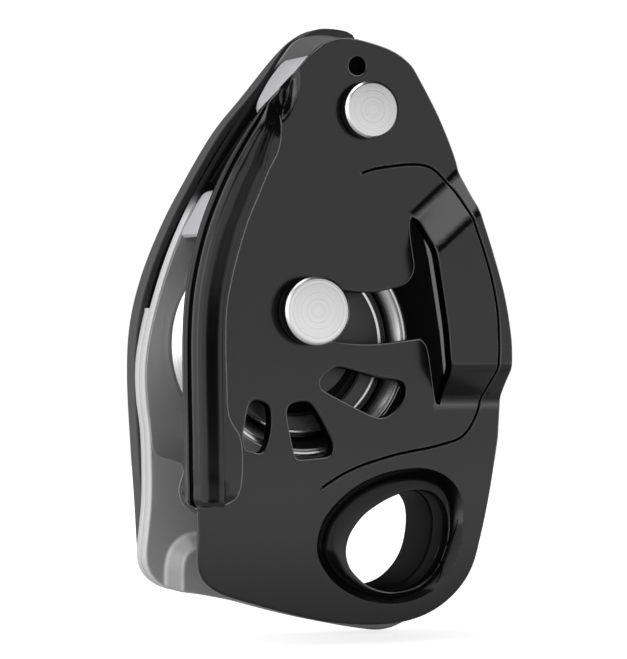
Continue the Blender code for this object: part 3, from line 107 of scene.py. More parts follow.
# Raised strap at the right of the moving plate
STRAP_RAISE = 7.2
STRAP_LEFT = -16.0
STRAP_SIDE = ((0.65, 59.0), (5.85, 25.6))
FOLD_POINT = (0.4, 60.3)
FOLD_NORMAL = (0.655, -0.755)
UPPER_RUN = 8.0
LOWER_START = 25.0
LOWER_RUN = 7.6
FOLD_EASE = 0.25

# Outlines, seen from the front
MOVING_RIGHT = (
    (18.4, 25.8), (17.6, 30.5), (17.4, 37.0), (16.0, 45.0), (13.6, 53.0), (11.4, 59.4), (10.7, 62.4),
    (10.2, 66.4), (9.4, 70.0), (6.3, 77.1), (2.4, 84.0), (0.3, 86.9), (-3.5, 89.2), (-9.6, 90.8),
    (-13.4, 90.9), (-16.4, 89.9))
LIP_EDGE = (
    (-19.0, 87.9), (-23.2, 83.2), (-29.2, 77.0), (-34.4, 69.2), (-37.9, 62.2),
    (-40.5, 55.2), (-42.5, 46.5), (-43.2, 38.6), (-43.2, 29.8), (-43.0, 19.3),
    (-42.9, 12.4), (-42.5, 9.7), (-41.4, 8.0))
MOVING_BOTTOM = (
    (-40.3, 6.6), (-40.2, 3.0), (-40.3, -1.0), (-39.8, -4.6), (-37.5, -7.2), (-32.4, -9.3),
    (-17.1, -13.4), (-5.5, -14.5), (2.4, -13.4), (8.4, -10.2), (12.6, -5.2), (14.8, 1.7),
    (16.6, 9.9), (18.1, 19.0))
FLANGE_EDGE = (
    (-23.8, 80.6), (-24.5, 77.6), (-24.7, 74.6), (-25.4, 70.4), (-27.3, 66.7), (-29.2, 62.3),
    (-31.1, 58.0), (-33.0, 52.2), (-34.4, 46.8), (-35.2, 42.1), (-35.4, 36.0), (-35.2, 29.8),
    (-35.0, 24.6), (-34.2, 22.2), (-32.9, 20.2), (-32.3, 17.4), (-32.3, 13.0), (-32.8, 10.0),
    (-34.1, 8.2), (-36.6, 7.3), (-41.0, 7.2))
VOID_EDGE = (
    (-1.8, 46.3), (-0.4, 46.9), (0.7, 48.0), (1.3, 49.4), (1.4, 50.6), (1.1, 52.4),
    (0.7, 55.0), (0.5, 57.6), (0.8, 59.0), (1.5, 58.4), (2.1, 55.2), (2.9, 51.0),
    (4.0, 44.5), (4.9, 38.5), (5.3, 34.0), (5.8, 30.0), (6.5, 26.2), (6.4, 25.0),
    (5.7, 25.2), (5.3, 27.0), (4.7, 31.0), (4.2, 34.2), (3.6, 36.0), (2.5, 37.0))
WINDOWS = (
    ((-31.6, 18.4), (-31.2, 17.4), (-30.0, 17.1), (-28.9, 16.7), (-27.7, 17.2), (-26.8, 19.6),
     (-26.5, 22.0), (-26.7, 24.6), (-27.4, 25.5), (-28.6, 26.0), (-30.0, 26.0), (-30.8, 25.0),
     (-31.3, 22.6), (-31.7, 20.4)),
    ((-21.9, 16.2), (-21.0, 15.5), (-18.5, 15.6), (-15.6, 15.9), (-14.7, 16.8), (-14.7, 18.4),
     (-16.2, 21.4), (-17.9, 24.2), (-19.2, 25.6), (-20.6, 25.8), (-22.6, 25.4), (-23.4, 24.4),
     (-23.3, 22.4), (-22.6, 19.0)),
    ((-16.9, 28.2), (-15.2, 27.1), (-10.4, 24.7), (-6.6, 23.0), (-4.6, 22.8), (-3.1, 23.5),
     (-1.4, 25.2), (-0.4, 26.9), (-0.6, 28.6), (-1.7, 29.4), (-5.0, 29.9), (-8.4, 30.7),
     (-12.6, 31.8), (-14.2, 31.8), (-15.8, 30.9), (-17.0, 29.6)))
DISH_EDGE = (
    (11.0, 4.9), (10.7, 7.9), (9.3, 10.6), (6.6, 12.6), (2.9, 13.6), (-1.6, 13.4), (-6.0, 12.4),
    (-10.4, 10.4), (-13.9, 7.7), (-16.4, 4.7), (-17.6, 1.3), (-17.5, -2.0), (-15.4, -5.6),
    (-12.3, -8.2), (-8.0, -10.1), (-3.5, -10.8), (0.8, -10.4), (4.6, -8.9), (7.7, -6.3),
    (9.8, -2.4), (10.8, 1.5))
HOLE_EDGE = (
    (10.0, 1.6), (9.9, 4.7), (8.9, 7.1), (6.9, 8.8), (4.0, 9.3), (0.4, 8.7), (-3.2, 7.2),
    (-6.7, 4.9), (-9.2, 1.8), (-10.1, -1.2), (-9.6, -4.0), (-7.9, -6.2), (-5.3, -8.1),
    (-1.8, -9.1), (1.8, -8.9), (4.8, -7.7), (7.4, -5.3), (9.2, -2.2))
FIXED_EDGE = (
    (18.2, 14.0), (18.1, 26.0), (16.8, 38.0), (14.5, 52.0), (11.3, 64.0), (6.5, 76.5),
    (2.5, 84.0), (0.2, 89.4), (-2.4, 92.4), (-6.2, 93.4), (-10.6, 93.2), (-13.8, 92.0),
    (-16.2, 89.1), (-18.6, 85.6), (-22.2, 80.1), (-28.4, 70.7), (-33.3, 62.4), (-37.6, 53.2),
    (-40.7, 44.1), (-42.5, 36.6), (-43.1, 31.3), (-42.9, 25.9), (-42.2, 20.4), (-41.9, 14.0),
    (-41.9, 7.7), (-42.4, 2.2), (-42.8, -2.0), (-42.3, -5.0), (-40.5, -7.3), (-37.5, -8.9),
    (-33.0, -9.7), (-26.0, -11.2), (-15.0, -14.2), (-2.3, -16.8), (3.6, -17.2), (8.6, -15.2),
    (12.6, -11.0), (15.6, -4.6), (17.4, 4.0))
PLATEAU_FOOT = (
    (16.2, -20.5), (17.0, -8.0), (16.6, 3.0), (13.0, 12.0), (6.0, 16.0), (-4.0, 16.0), (-12.0, 12.0),
    (-17.5, 6.5), (-24.0, 2.8), (-33.3, 1.9), (-36.2, 1.1), (-38.4, -1.0), (-39.4, -4.2),
    (-39.5, -9.0), (-39.5, -20.5), (-14.0, -26.0))
PLATEAU_RISE = 2.5
PLATEAU_RUN = 3.3
# Painted highlight bands along the plateau's two bends
BEND_PLACES = (0.45, 3.0)
BEND_WIDTH = 0.5
BEND_BRIGHT = 0.6
WEAR_EDGE = (
    (-29.2, 22.0), (-30.6, 31.0), (-30.4, 41.0), (-29.4, 49.0), (-29.6, 54.6), (-32.6, 61.8), (-34.0, 60.2),
    (-37.2, 53.0), (-40.3, 44.0), (-42.1, 36.5), (-42.7, 31.3), (-42.5, 25.9), (-41.9, 20.6), (-41.65, 17.6),
    (-41.0, 16.0), (-39.6, 15.3), (-37.8, 14.8), (-36.1, 14.1), (-35.6, 12.9), (-36.0, 11.4), (-36.5, 9.6),
    (-36.2, 7.8), (-35.0, 6.0), (-32.4, 4.7), (-28.6, 5.2), (-26.6, 7.6), (-26.2, 12.0), (-27.2, 17.0))
BRAKE_PAD_EDGE = (
    (-34.8, 55.5), (-30.7, 57.5), (-28.2, 58.9), (-27.2, 60.6), (-27.4, 62.4), (-28.6, 63.6),
    (-30.0, 64.1), (-31.6, 63.7), (-32.6, 62.6), (-34.4, 59.4), (-36.0, 56.6), (-35.9, 55.7))
SPACER_EDGE = (
    (3.2, 80.6), (2.2, 84.0), (-0.6, 86.8), (-2.6, 87.6), (-8.0, 88.3), (-14.6, 88.5), (-15.9, 88.3),
    (-16.7, 87.7), (-18.2, 85.9), (-19.4, 84.2), (-20.2, 82.8), (-20.9, 81.6), (-21.4, 80.4), (-21.6, 79.4),
    (-21.3, 78.3), (-20.4, 77.7), (-16.5, 75.2), (-11.5, 72.4), (-6.5, 71.2), (-1.5, 72.2), (1.8, 75.0),
    (3.3, 78.0))
LEVER_EDGE = (
    (-0.7, 94.9), (-6.2, 95.2), (-10.3, 93.4), (-14.3, 89.7), (-20.4, 82.4), (-26.4, 75.2),
    (-32.3, 65.6), (-36.6, 57.6), (-40.4, 48.4), (-42.6, 39.5), (-43.1, 30.0), (-42.5, 18.0),
    (-41.7, 7.0), (-41.1, -2.0), (-40.2, -4.6), (-38.2, -5.2), (-35.8, -3.2), (-32.4, -0.4),
    (-27.6, 2.2), (-23.2, 6.2), (-20.8, 11.6), (-21.0, 18.0), (-24.2, 26.0), (-26.8, 33.0),
    (-27.7, 42.0), (-26.5, 50.0), (-23.5, 59.0), (-19.0, 68.0), (-13.5, 76.4), (-7.0, 83.2),
    (-1.0, 88.0), (1.0, 91.0), (1.0, 93.4))

# Fine lines cut into the moving plate: the way the rope runs
ROPE_LINE = (
    (-9.0, 66.8), (-6.4, 67.6), (-3.4, 68.1), (0.0, 68.5), (2.6, 68.5), (4.6, 68.0), (6.4, 66.7), (8.0, 64.8),
    (8.8, 62.4), (9.3, 60.2), (10.3, 57.0), (11.5, 53.8), (13.2, 48.6), (14.5, 42.4), (14.9, 36.0),
    (14.8, 32.6), (14.6, 29.4), (14.4, 26.0), (14.0, 24.0), (13.1, 22.0), (11.9, 20.2), (10.4, 18.9),
    (8.0, 18.1), (4.1, 17.2), (0.4, 16.6), (-3.5, 15.8), (-9.4, 14.1), (-13.3, 12.4), (-16.8, 10.3))
LINE_HALF_WIDTH = 0.32
LINE_FLOOR = 0.12
LINE_EDGE = 0.46
LINE_DEPTH = 0.3


def polar(centre, radius, degrees):
    angle = math.radians(degrees)
    return centre[0] + radius * math.cos(angle), centre[1] + radius * math.sin(angle)


def arc(centre, radius, start, stop, count):
    return [polar(centre, radius, start + (stop - start) * i / (count - 1)) for i in range(count)]


def circle(centre, radius, count):
    return arc(centre, radius, 0.0, 360.0 - 360.0 / count, count)


def direction(start, end):
    """Direction from one place to another, in degrees."""
    return math.degrees(math.atan2(end[1] - start[1], end[0] - start[0]))


def bent_slot(centre, radii, angles, count):
    """A slot with round ends, bent round the centre."""
    inner, outer = radii
    start, stop = angles
    half = (outer - inner) / 2
    loop = arc(centre, outer, start, stop, count)
    loop += arc(polar(centre, inner + half, stop), half, stop, stop + 180.0, 9)[1:-1]
    loop += arc(centre, inner, stop, start, count)
    return loop + arc(polar(centre, inner + half, start), half, start + 180.0, start + 360.0, 9)[1:-1]


def smooth(points, step, closed=True):
    """Smooth curve through the points, with corners about one step apart."""
    count = len(points)
    result = []
    for i in range(count if closed else count - 1):
        if closed:
            a, b, c, d = (points[(i + k) % count] for k in (-1, 0, 1, 2))
        else:
            a, b, c, d = (points[min(max(i + k, 0), count - 1)] for k in (-1, 0, 1, 2))
        cuts = max(1, round(math.dist(b, c) / step))
        for k in range(cuts):
            t = k / cuts
            result.append(tuple(
                0.5 * (2 * q + (r - p) * t + (2 * p - 5 * q + 4 * r - s) * t * t
                       + (3 * q - p - 3 * r + s) * t ** 3)
                for p, q, r, s in zip(a, b, c, d)))
    if not closed:
        result.append(tuple(points[-1]))
    return result


def gap_to(path, x, z, closed=False):
    """Distance from each place to a path, and the height of the nearest point on the path."""
    points = np.array(list(path) + ([path[0]] if closed else []))
    best = np.full(len(x), 1e9)
    near_z = np.zeros(len(x))
    for (ax, az), (bx, bz) in zip(points[:-1], points[1:]):
        dx = bx - ax
        dz = bz - az
        t = np.clip(((x - ax) * dx + (z - az) * dz) / (dx * dx + dz * dz), 0.0, 1.0)
        gap = np.hypot(x - ax - t * dx, z - az - t * dz)
        closer = gap < best
        best = np.where(closer, gap, best)
        near_z = np.where(closer, az + t * dz, near_z)
    return best, near_z


def within(loop, x, z):
    hit = np.zeros(len(x), bool)
    for (ax, az), (bx, bz) in zip(loop, list(loop[1:]) + [loop[0]]):
        if az != bz:
            crosses = (az > z) != (bz > z)
            hit ^= crosses & (x < (bx - ax) * (z - az) / (bz - az) + ax)
    return hit


def radius_of(loop, x, z):
    """Radius of a loop round the attachment hole, in the direction of each place."""
    angles = np.array([math.atan2(p[1], p[0]) for p in loop])
    radii = np.array([math.hypot(*p) for p in loop])
    return np.interp(np.arctan2(z, x), angles, radii, period=2 * math.pi)


def smoothstep(value, start, stop):
    t = np.clip((value - start) / (stop - start), 0.0, 1.0)
    return t * t * (3 - 2 * t)


def eased(value, run):
    """Zero to one over the run, with both bends rounded."""
    t = np.clip(value / run, 0.0, 1.0)
    q = FOLD_EASE
    return np.where(t < q, t * t / (2 * q * (1 - q)),
                    np.where(t > 1 - q, 1 - (1 - t) ** 2 / (2 * q * (1 - q)), (t - q / 2) / (1 - q)))


# Making pieces


def add_object(name, data):
    made = bpy.data.objects.new(name, data)
    bpy.context.scene.collection.objects.link(made)
    return made


def finish_piece(bm, name, body, material, stands_for, sharp=38.0):
    """Turn a shape in millimetres into a finished piece on its body."""
    bmesh.ops.remove_doubles(bm, verts=bm.verts[:], dist=0.0005)
    bmesh.ops.recalc_face_normals(bm, faces=bm.faces[:])
    bmesh.ops.scale(bm, verts=bm.verts[:], vec=(MM, MM, MM))
    for face in bm.faces:
        face.smooth = True
    for edge in bm.edges:
        edge.smooth = not edge.is_manifold or edge.calc_face_angle(0.0) < math.radians(sharp)
    mesh = bpy.data.meshes.new(name)
    bm.to_mesh(mesh)
    bm.free()
    piece = add_object(name, mesh)
    mesh.materials.append(material)
    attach(piece, body)
    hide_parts(*stands_for)
    return piece


def fill_regions(bm, regions):
    """Fill each region between its loops; regions may share edges."""
    corners = {}
    for loops in regions:
        edges = []
        for loop in loops:
            verts = []
            for x, z in loop:
                key = (round(x, 3), round(z, 3))
                if key not in corners:
                    corners[key] = bm.verts.new((x, 0.0, z))
                verts.append(corners[key])
            for a, b in zip(verts, verts[1:] + verts[:1]):
                if a is not b:
                    edges.append(bm.edges.get((a, b)) or bm.edges.new((a, b)))
        bmesh.ops.triangle_fill(bm, use_beauty=True, edges=edges, normal=(0, -1, 0))
    return corners


def fill_dish(bm, corners):
    """Close the ring between the dish's edge and the hole, with even rings."""
    last = [corners[round(x, 3), round(z, 3)] for x, z in dish_loop]
    for share in DISH_RINGS + (1.0,):
        ring = [bm.verts.new((a[0] + (b[0] - a[0]) * share, 0.0, a[1] + (b[1] - a[1]) * share))
                for a, b in zip(dish_loop, hole_loop)]
        edges = [bm.edges.get(pair) or bm.edges.new(pair) for pair in zip(last, last[1:] + last[:1])]
        edges += [bm.edges.new(pair) for pair in zip(ring, ring[1:] + ring[:1])]
        for face in bmesh.ops.bridge_loops(bm, edges=edges)["faces"]:
            face.normal_update()
            if face.normal.y > 0:
                face.normal_flip()
        last = ring


RIM_STEPS = ((0.08, 0.608), (0.22, 0.286), (0.35, 0.063), (0.35, 0.0))


def round_rims(bm, radius):
    """Inset every open rim in small steps; the rim layer says how far each ring drops back, and the materials
    also read it as the mask for lighter rims, partly wear and partly painted highlight.
    """
    rim = bm.verts.layers.float.new("rim")
    for vert in bm.verts:
        vert[rim] = 1.0
    inner = set(bm.faces)
    for step, drop in RIM_STEPS:
        made = bmesh.ops.inset_region(
            bm, faces=list(inner), thickness=step * radius, use_even_offset=True, use_boundary=True)
        inner -= set(made["faces"])
        for face in inner:
            for vert in face.verts:
                vert[rim] = drop
    return list(inner)


def cut_grid(bm, faces, step):
    """Cut the flat faces along X and Z, one step apart."""
    verts = {v for f in faces for v in f.verts}
    edges = {e for f in faces for e in f.edges}
    geom = list(verts) + list(edges) + list(faces)
    xs = [v.co.x for v in verts]
    zs = [v.co.z for v in verts]
    planes = [((x, 0, 0), (1, 0, 0)) for x in np.arange(min(xs) + step / 2, max(xs), step)]
    planes += [((0, 0, z), (0, 0, 1)) for z in np.arange(min(zs) + step / 2, max(zs), step)]
    for place, normal in planes:
        geom = bmesh.ops.bisect_plane(bm, geom=geom, dist=0.02, plane_co=place, plane_no=normal)["geom"]


def thicken(bm, front, back, radius):
    """Extrude the flat shape and lift both sides to their own heights."""
    rim = bm.verts.layers.float["rim"]
    original = list(bm.verts)
    made = bmesh.ops.extrude_face_region(bm, geom=list(bm.faces))
    moved = [v for v in made["geom"] if isinstance(v, bmesh.types.BMVert)]
    for verts, height, side in ((original, front, 1.0), (moved, back, -1.0)):
        places = np.array([v.co for v in verts])
        heights = height(places[:, 0], places[:, 2])
        for vert, y in zip(verts, heights):
            vert.co.y = y + side * radius * vert[rim]
    return original


def level(y):
    return lambda x, z: np.full(len(x), y)


def sheet_piece(name, node, body, material, loops, front, back, radius=0.3):
    """A flat piece with rounded rims, between a front and a back surface."""
    bm = bmesh.new()
    fill_regions(bm, [loops])
    round_rims(bm, radius)
    thicken(bm, front, back, radius)
    return finish_piece(bm, name, body, material, [node])


def fillet(profile, radius, closed, cuts=3):
    """Round the corners of a section."""
    result = []
    count = len(profile)
    for i, corner in enumerate(profile):
        if not closed and i in (0, count - 1):
            result.append(corner)
            continue
        here = Vector(corner)
        before = Vector(profile[i - 1]) - here
        after = Vector(profile[(i + 1) % count]) - here
        reach = min(radius, before.length * 0.45, after.length * 0.45)
        start = here + before.normalized() * reach
        stop = here + after.normalized() * reach
        for k in range(cuts + 1):
            t = k / cuts
            result.append(tuple(start * (1 - t) ** 2 + here * 2 * t * (1 - t) + stop * t * t))
    return result


def turned_piece(name, node, body, material, centre, profile, rounding=0.15, closed=False, steps=96):
    """Spin a section of radius and depth about a line along Y."""
    bm = bmesh.new()
    section = fillet(profile, rounding, closed)
    verts = [bm.verts.new((centre[0] + r, y, centre[1])) for r, y in section]
    edges = [bm.edges.new(pair) for pair in zip(verts, verts[1:])]
    if closed:
        edges.append(bm.edges.new((verts[-1], verts[0])))
    bmesh.ops.spin(bm, geom=verts + edges, cent=(centre[0], 0, centre[1]), axis=(0, 1, 0),
                   angle=2 * math.pi, steps=steps, use_merge=True)
    return finish_piece(bm, name, body, material, [node])


# Materials


def group(name, inputs, outputs):
    tree = bpy.data.node_groups.new(name, "ShaderNodeTree")
    for label, kind, value in inputs:
        socket = tree.interface.new_socket(label, in_out="INPUT", socket_type=kind)
        if value is not None:
            socket.default_value = value
    for label, kind in outputs:
        tree.interface.new_socket(label, in_out="OUTPUT", socket_type=kind)
    return tree, tree.nodes.new("NodeGroupInput"), tree.nodes.new("NodeGroupOutput")


def node(tree, kind, links=(), **values):
    """Add a node, set its plain values and connect its sockets."""
    made = tree.nodes.new(kind)
    for key, value in values.items():
        if hasattr(made, key):
            setattr(made, key, value)
        else:
            made.inputs[key.replace("_", " ").title()].default_value = value
    for socket, source in links:
        tree.links.new(source, made.inputs[socket])
    return made


def maths(tree, operation, a, b=None):
    made = tree.nodes.new("ShaderNodeMath")
    made.operation = operation
    for i, value in enumerate((a, b)):
        if value is None:
            continue
        if isinstance(value, (int, float)):
            made.inputs[i].default_value = value
        else:
            tree.links.new(value, made.inputs[i])
    return made.outputs[0]


def mix_colour(tree, share, a, b):
    made = tree.nodes.new("ShaderNodeMix")
    made.data_type = "RGBA"
    for socket, value in (("Factor", share), ("A", a), ("B", b)):
        target = [s for s in made.inputs if s.name == socket and s.enabled][0]
        if isinstance(value, (tuple, list)):
            target.default_value = (*value, 1.0) if len(value) == 3 else value
        elif isinstance(value, (int, float)):
            target.default_value = value
        else:
            tree.links.new(value, target)
    return [s for s in made.outputs if s.name == "Result" and s.enabled][0]


def fine_grain_group():
    """Fine speckle and broad clouding, for anodised, moulded and blasted surfaces."""
    tree, source, sink = group(
        "fine_grain",
        [("Grain Scale", "NodeSocketFloat", 3000.0), ("Cloud Scale", "NodeSocketFloat", 90.0)],
        [("Grain", "NodeSocketFloat"), ("Cloud", "NodeSocketFloat")])
    place = tree.nodes.new("ShaderNodeTexCoord").outputs["Object"]
    grain = tree.nodes.new("ShaderNodeTexNoise")
    cloud = tree.nodes.new("ShaderNodeTexNoise")
    for made, scale, detail in ((grain, "Grain Scale", 2.0), (cloud, "Cloud Scale", 3.0)):
        tree.links.new(place, made.inputs["Vector"])
        tree.links.new(source.outputs[scale], made.inputs["Scale"])
        made.inputs["Detail"].default_value = detail
    tree.links.new(grain.outputs["Fac"], sink.inputs["Grain"])
    tree.links.new(cloud.outputs["Fac"], sink.inputs["Cloud"])
    return tree


def turning_group():
    """Rings left by a lathe, about a line along Y through the given centre."""
    tree, source, sink = group(
        "turning_marks",
        [("Centre", "NodeSocketVector", (0, 0, 0)), ("Rings", "NodeSocketFloat", 4000.0)],
        [("Ring", "NodeSocketFloat"), ("Radius", "NodeSocketFloat")])
    place = tree.nodes.new("ShaderNodeTexCoord").outputs["Object"]
    ends = [(0, place), (1, source.outputs["Centre"])]
    offset = node(tree, "ShaderNodeVectorMath", ends, operation="SUBTRACT")
    flat = node(tree, "ShaderNodeVectorMath", [(0, offset.outputs[0])], operation="MULTIPLY")
    flat.inputs[1].default_value = (1.0, 0.0, 1.0)
    radius = node(tree, "ShaderNodeVectorMath", [(0, flat.outputs[0])], operation="LENGTH").outputs["Value"]
    along = maths(tree, "MULTIPLY", radius, source.outputs["Rings"])
    noise = node(tree, "ShaderNodeTexNoise", noise_dimensions="1D")
    tree.links.new(along, noise.inputs["W"])
    noise.inputs["Scale"].default_value = 1.0
    noise.inputs["Detail"].default_value = 2.0
    tree.links.new(noise.outputs["Fac"], sink.inputs["Ring"])
    tree.links.new(radius, sink.inputs["Radius"])
    return tree


FINE_GRAIN = fine_grain_group()
TURNING = turning_group()


def rise(tree, value, start, stop, low_end, high_end):
    """A smooth change between two levels while the value goes from start to stop."""
    ramp = tree.nodes.new("ShaderNodeMapRange")
    ramp.interpolation_type = "SMOOTHSTEP"
    tree.links.new(value, ramp.inputs["Value"])
    for i, number in enumerate((start, stop, low_end, high_end)):
        ramp.inputs[1 + i].default_value = number
    return ramp.outputs["Result"]


RELIEF = 0.02
GRAIN_SHARE = 0.45
RIM_SHARE = 0.8
# Roughness where the painted shade lies
SHADE_PAINT_ROUGH = 0.85
# Painted shade: black on the necks of turned heads, and dark over the wheel's seal band, fading along its
# cone
NECK_SHADE_BLACK = (0.004, 0.004, 0.004)
NECK_BLUR = 0.03
SEAL_SHADE_BLACK = (0.02, 0.02, 0.021)
SEAL_BLUR = 0.05


def plain_material(name, metallic):
    material = bpy.data.materials.new(name)
    material.use_nodes = True
    tree = material.node_tree
    shader = tree.nodes["Principled BSDF"]
    shader.inputs["Metallic"].default_value = metallic
    return material, tree, shader


def connect(tree, shader, colour, rough, marks, bump):
    """Give the shader its colour and roughness, and a fine relief from the marks."""
    tree.links.new(colour, shader.inputs["Base Color"])
    tree.links.new(rough, shader.inputs["Roughness"])
    lift = tree.nodes.new("ShaderNodeBump")
    lift.inputs["Strength"].default_value = bump
    lift.inputs["Distance"].default_value = RELIEF * MM
    tree.links.new(marks, lift.inputs["Height"])
    tree.links.new(lift.outputs["Normal"], shader.inputs["Normal"])


def grainy_material(name, dark, light, metallic, rough, rough_spread, bump, grain=3000.0, rim_wear_and_highlight=None, painted_shade=None,
                    shine=0.5):
    """Grained finish. The rims may be lighter, partly as wear and partly as a painted highlight, and a second
    mask darkens the surface as painted shade.
    """
    material, tree, shader = plain_material(name, metallic)
    shader.inputs["Specular IOR Level"].default_value = shine
    pattern = tree.nodes.new("ShaderNodeGroup")
    pattern.node_tree = FINE_GRAIN
    pattern.inputs["Grain Scale"].default_value = grain
    blend = maths(tree, "ADD", maths(tree, "MULTIPLY", pattern.outputs["Grain"], GRAIN_SHARE),
                  maths(tree, "MULTIPLY", pattern.outputs["Cloud"], 1.0 - GRAIN_SHARE))
    colour = mix_colour(tree, blend, dark, light)
    # Lighter rims, masked by the rim layer: partly wear, partly a painted highlight
    if rim_wear_and_highlight:
        rim = node(tree, "ShaderNodeAttribute", attribute_name="rim").outputs["Fac"]
        colour = mix_colour(tree, maths(tree, "MULTIPLY", rim, RIM_SHARE), colour, rim_wear_and_highlight)
    # Painted shade: darker, duller and without shine where the mask lies
    if painted_shade:
        line = node(tree, "ShaderNodeAttribute", attribute_name="painted_shade").outputs["Fac"]
        colour = mix_colour(tree, line, colour, painted_shade)
        tree.links.new(maths(tree, "MAXIMUM", line, metallic), shader.inputs["Metallic"])
    sheen = maths(tree, "ADD", maths(tree, "MULTIPLY", pattern.outputs["Cloud"], rough_spread),
                  rough - rough_spread / 2)
    if painted_shade:
        sheen = maths(tree, "MAXIMUM", sheen, maths(tree, "MULTIPLY", line, SHADE_PAINT_ROUGH))
    connect(tree, shader, colour, sheen, pattern.outputs["Grain"], bump)
    return material


def turned_material(name, centre, dark, light, rough, rings, bump, neck_shade_from=None, seal_shade=None):
    """Lathe-turned metal with fine rings; painted black shade may cover its neck, and painted shade may
    darken the seal band and the foot of the cone beyond it.
    """
    material, tree, shader = plain_material(name, 1.0)
    marks = tree.nodes.new("ShaderNodeGroup")
    marks.node_tree = TURNING
    marks.inputs["Centre"].default_value = (centre[0] * MM, 0.0, centre[1] * MM)
    marks.inputs["Rings"].default_value = rings
    colour = mix_colour(tree, marks.outputs["Ring"], dark, light)
    if neck_shade_from is not None:
        parts = tree.nodes.new("ShaderNodeSeparateXYZ")
        tree.links.new(tree.nodes.new("ShaderNodeTexCoord").outputs["Object"], parts.inputs[0])
        limits = ((neck_shade_from - NECK_BLUR) * MM, (neck_shade_from + NECK_BLUR) * MM)
        neck = rise(tree, parts.outputs["Y"], *limits, 0.0, 1.0)
        colour = mix_colour(tree, neck, colour, NECK_SHADE_BLACK)
    if seal_shade:
        radius = marks.outputs["Radius"]
        inside = maths(tree, "MULTIPLY",
                       rise(tree, radius, (seal_shade[0] - SEAL_BLUR) * MM, (seal_shade[0] + SEAL_BLUR) * MM, 0.0, 1.0),
                       rise(tree, radius, seal_shade[1] * MM, seal_shade[2] * MM, 1.0, 0.0))
        colour = mix_colour(tree, inside, colour, SEAL_SHADE_BLACK)
    sheen = maths(tree, "ADD", maths(tree, "MULTIPLY", marks.outputs["Ring"], 0.1), rough - 0.05)
    connect(tree, shader, colour, sheen, marks.outputs["Ring"], bump)
    return material


# Rim colours are partly wear and partly painted highlight; the near-black second colours are painted shade
BLACK_ANODISED = grainy_material(
    "black anodised aluminium", (0.0025, 0.0025, 0.0027), (0.0045, 0.0045, 0.0048), 0.0, 0.17, 0.03, 0.04,
    rim_wear_and_highlight=(0.42, 0.42, 0.43), painted_shade=(0.001, 0.001, 0.001))
GREY_ANODISED = grainy_material(
    "grey anodised aluminium", (0.32, 0.32, 0.323), (0.38, 0.38, 0.384), 0.3, 0.45, 0.08, 0.35,
    grain=2600.0, rim_wear_and_highlight=(0.86, 0.86, 0.87), painted_shade=(0.012, 0.012, 0.013))
SATIN_ALUMINIUM = grainy_material(
    "satin aluminium", (0.46, 0.46, 0.49), (0.54, 0.54, 0.56), 0.5, 0.45, 0.08, 0.3, grain=2400.0,
    rim_wear_and_highlight=(0.72, 0.72, 0.74))
BRUSHED_STEEL = grainy_material(
    "wear plate steel", (0.29, 0.29, 0.295), (0.36, 0.36, 0.365), 0.6, 0.4, 0.08, 0.3, rim_wear_and_highlight=(0.8, 0.8, 0.81))
DARK_STEEL = grainy_material(
    "blackened steel", (0.05, 0.05, 0.052), (0.08, 0.08, 0.084), 0.7, 0.42, 0.1, 0.3, rim_wear_and_highlight=(0.2, 0.2, 0.2))
BLACK_NYLON = grainy_material(
    "moulded black nylon", (0.018, 0.018, 0.019), (0.028, 0.028, 0.03), 0.0, 0.5, 0.12, 0.7,
    grain=1800.0, rim_wear_and_highlight=(0.06, 0.06, 0.062))
# Near-black, dull nylon for pieces put where there is shade: the rope channel liner and the slip washer
SHADE_BLACK_NYLON = grainy_material(
    "black nylon, painted shade", (0.003, 0.003, 0.003), (0.005, 0.005, 0.005), 0.0, 0.7, 0.1, 0.5, grain=1800.0, shine=0.08)
# Painted shade: a near-black, dull finish for the bores, collars and bearing rings that lie in shade
BORE_SHADE_BLACK = grainy_material(
    "bore painted shade", (0.004, 0.004, 0.0042), (0.008, 0.008, 0.0083), 0.0, 0.5, 0.1, 0.3, shine=0.06)
SPRING_STEEL = grainy_material(
    "spring steel", (0.4, 0.4, 0.41), (0.5, 0.5, 0.51), 1.0, 0.3, 0.1, 0.2)
# The heads' necks are painted black as shade round the heads
AXLE_STEEL = turned_material("turned axle head", CAM_AXIS, (0.5, 0.5, 0.5), (0.9, 0.9, 0.9), 0.3,
                             2600.0, 0.9, neck_shade_from=low("cam_axle").y + 0.62)
RIVET_STEEL = turned_material("turned rivet head", TOP_AXIS, (0.48, 0.48, 0.48), (0.84, 0.84, 0.84), 0.28,
                              2400.0, 0.9, neck_shade_from=low("top_pivot_rivet").y + 0.68)
# The wheel's seal band and the foot of its cone are painted dark as shade
WHEEL_STEEL = turned_material("turned wheel", WHEEL_AXIS, (0.4, 0.4, 0.4), (0.8, 0.8, 0.8), 0.25, 3500.0, 0.6,
                              seal_shade=(15.98, 16.8, 18.5))
RING_STEEL = turned_material("bearing steel", WHEEL_AXIS, (0.4, 0.4, 0.4), (0.5, 0.5, 0.5), 0.25, 4000.0, 0.2)
PIN_STEEL = grainy_material("pin steel", (0.5, 0.5, 0.5), (0.6, 0.6, 0.6), 1.0, 0.3, 0.1, 0.2)


# Moving side plate


def even_round(loop):
    """The same loop round the attachment hole, with its points at even angles."""
    angles = np.linspace(-math.pi, math.pi, ROUND_POINTS, endpoint=False)
    return list(zip(*(radius_of(loop, np.cos(angles), np.sin(angles)) * (np.cos(angles), np.sin(angles)))))


hole_loop = even_round(smooth(HOLE_EDGE, 0.3))
dish_loop = even_round(smooth(DISH_EDGE, 0.4))
lip_path = smooth(LIP_EDGE, 1.0, closed=False)
flange_path = smooth(FLANGE_EDGE, 0.8, closed=False)

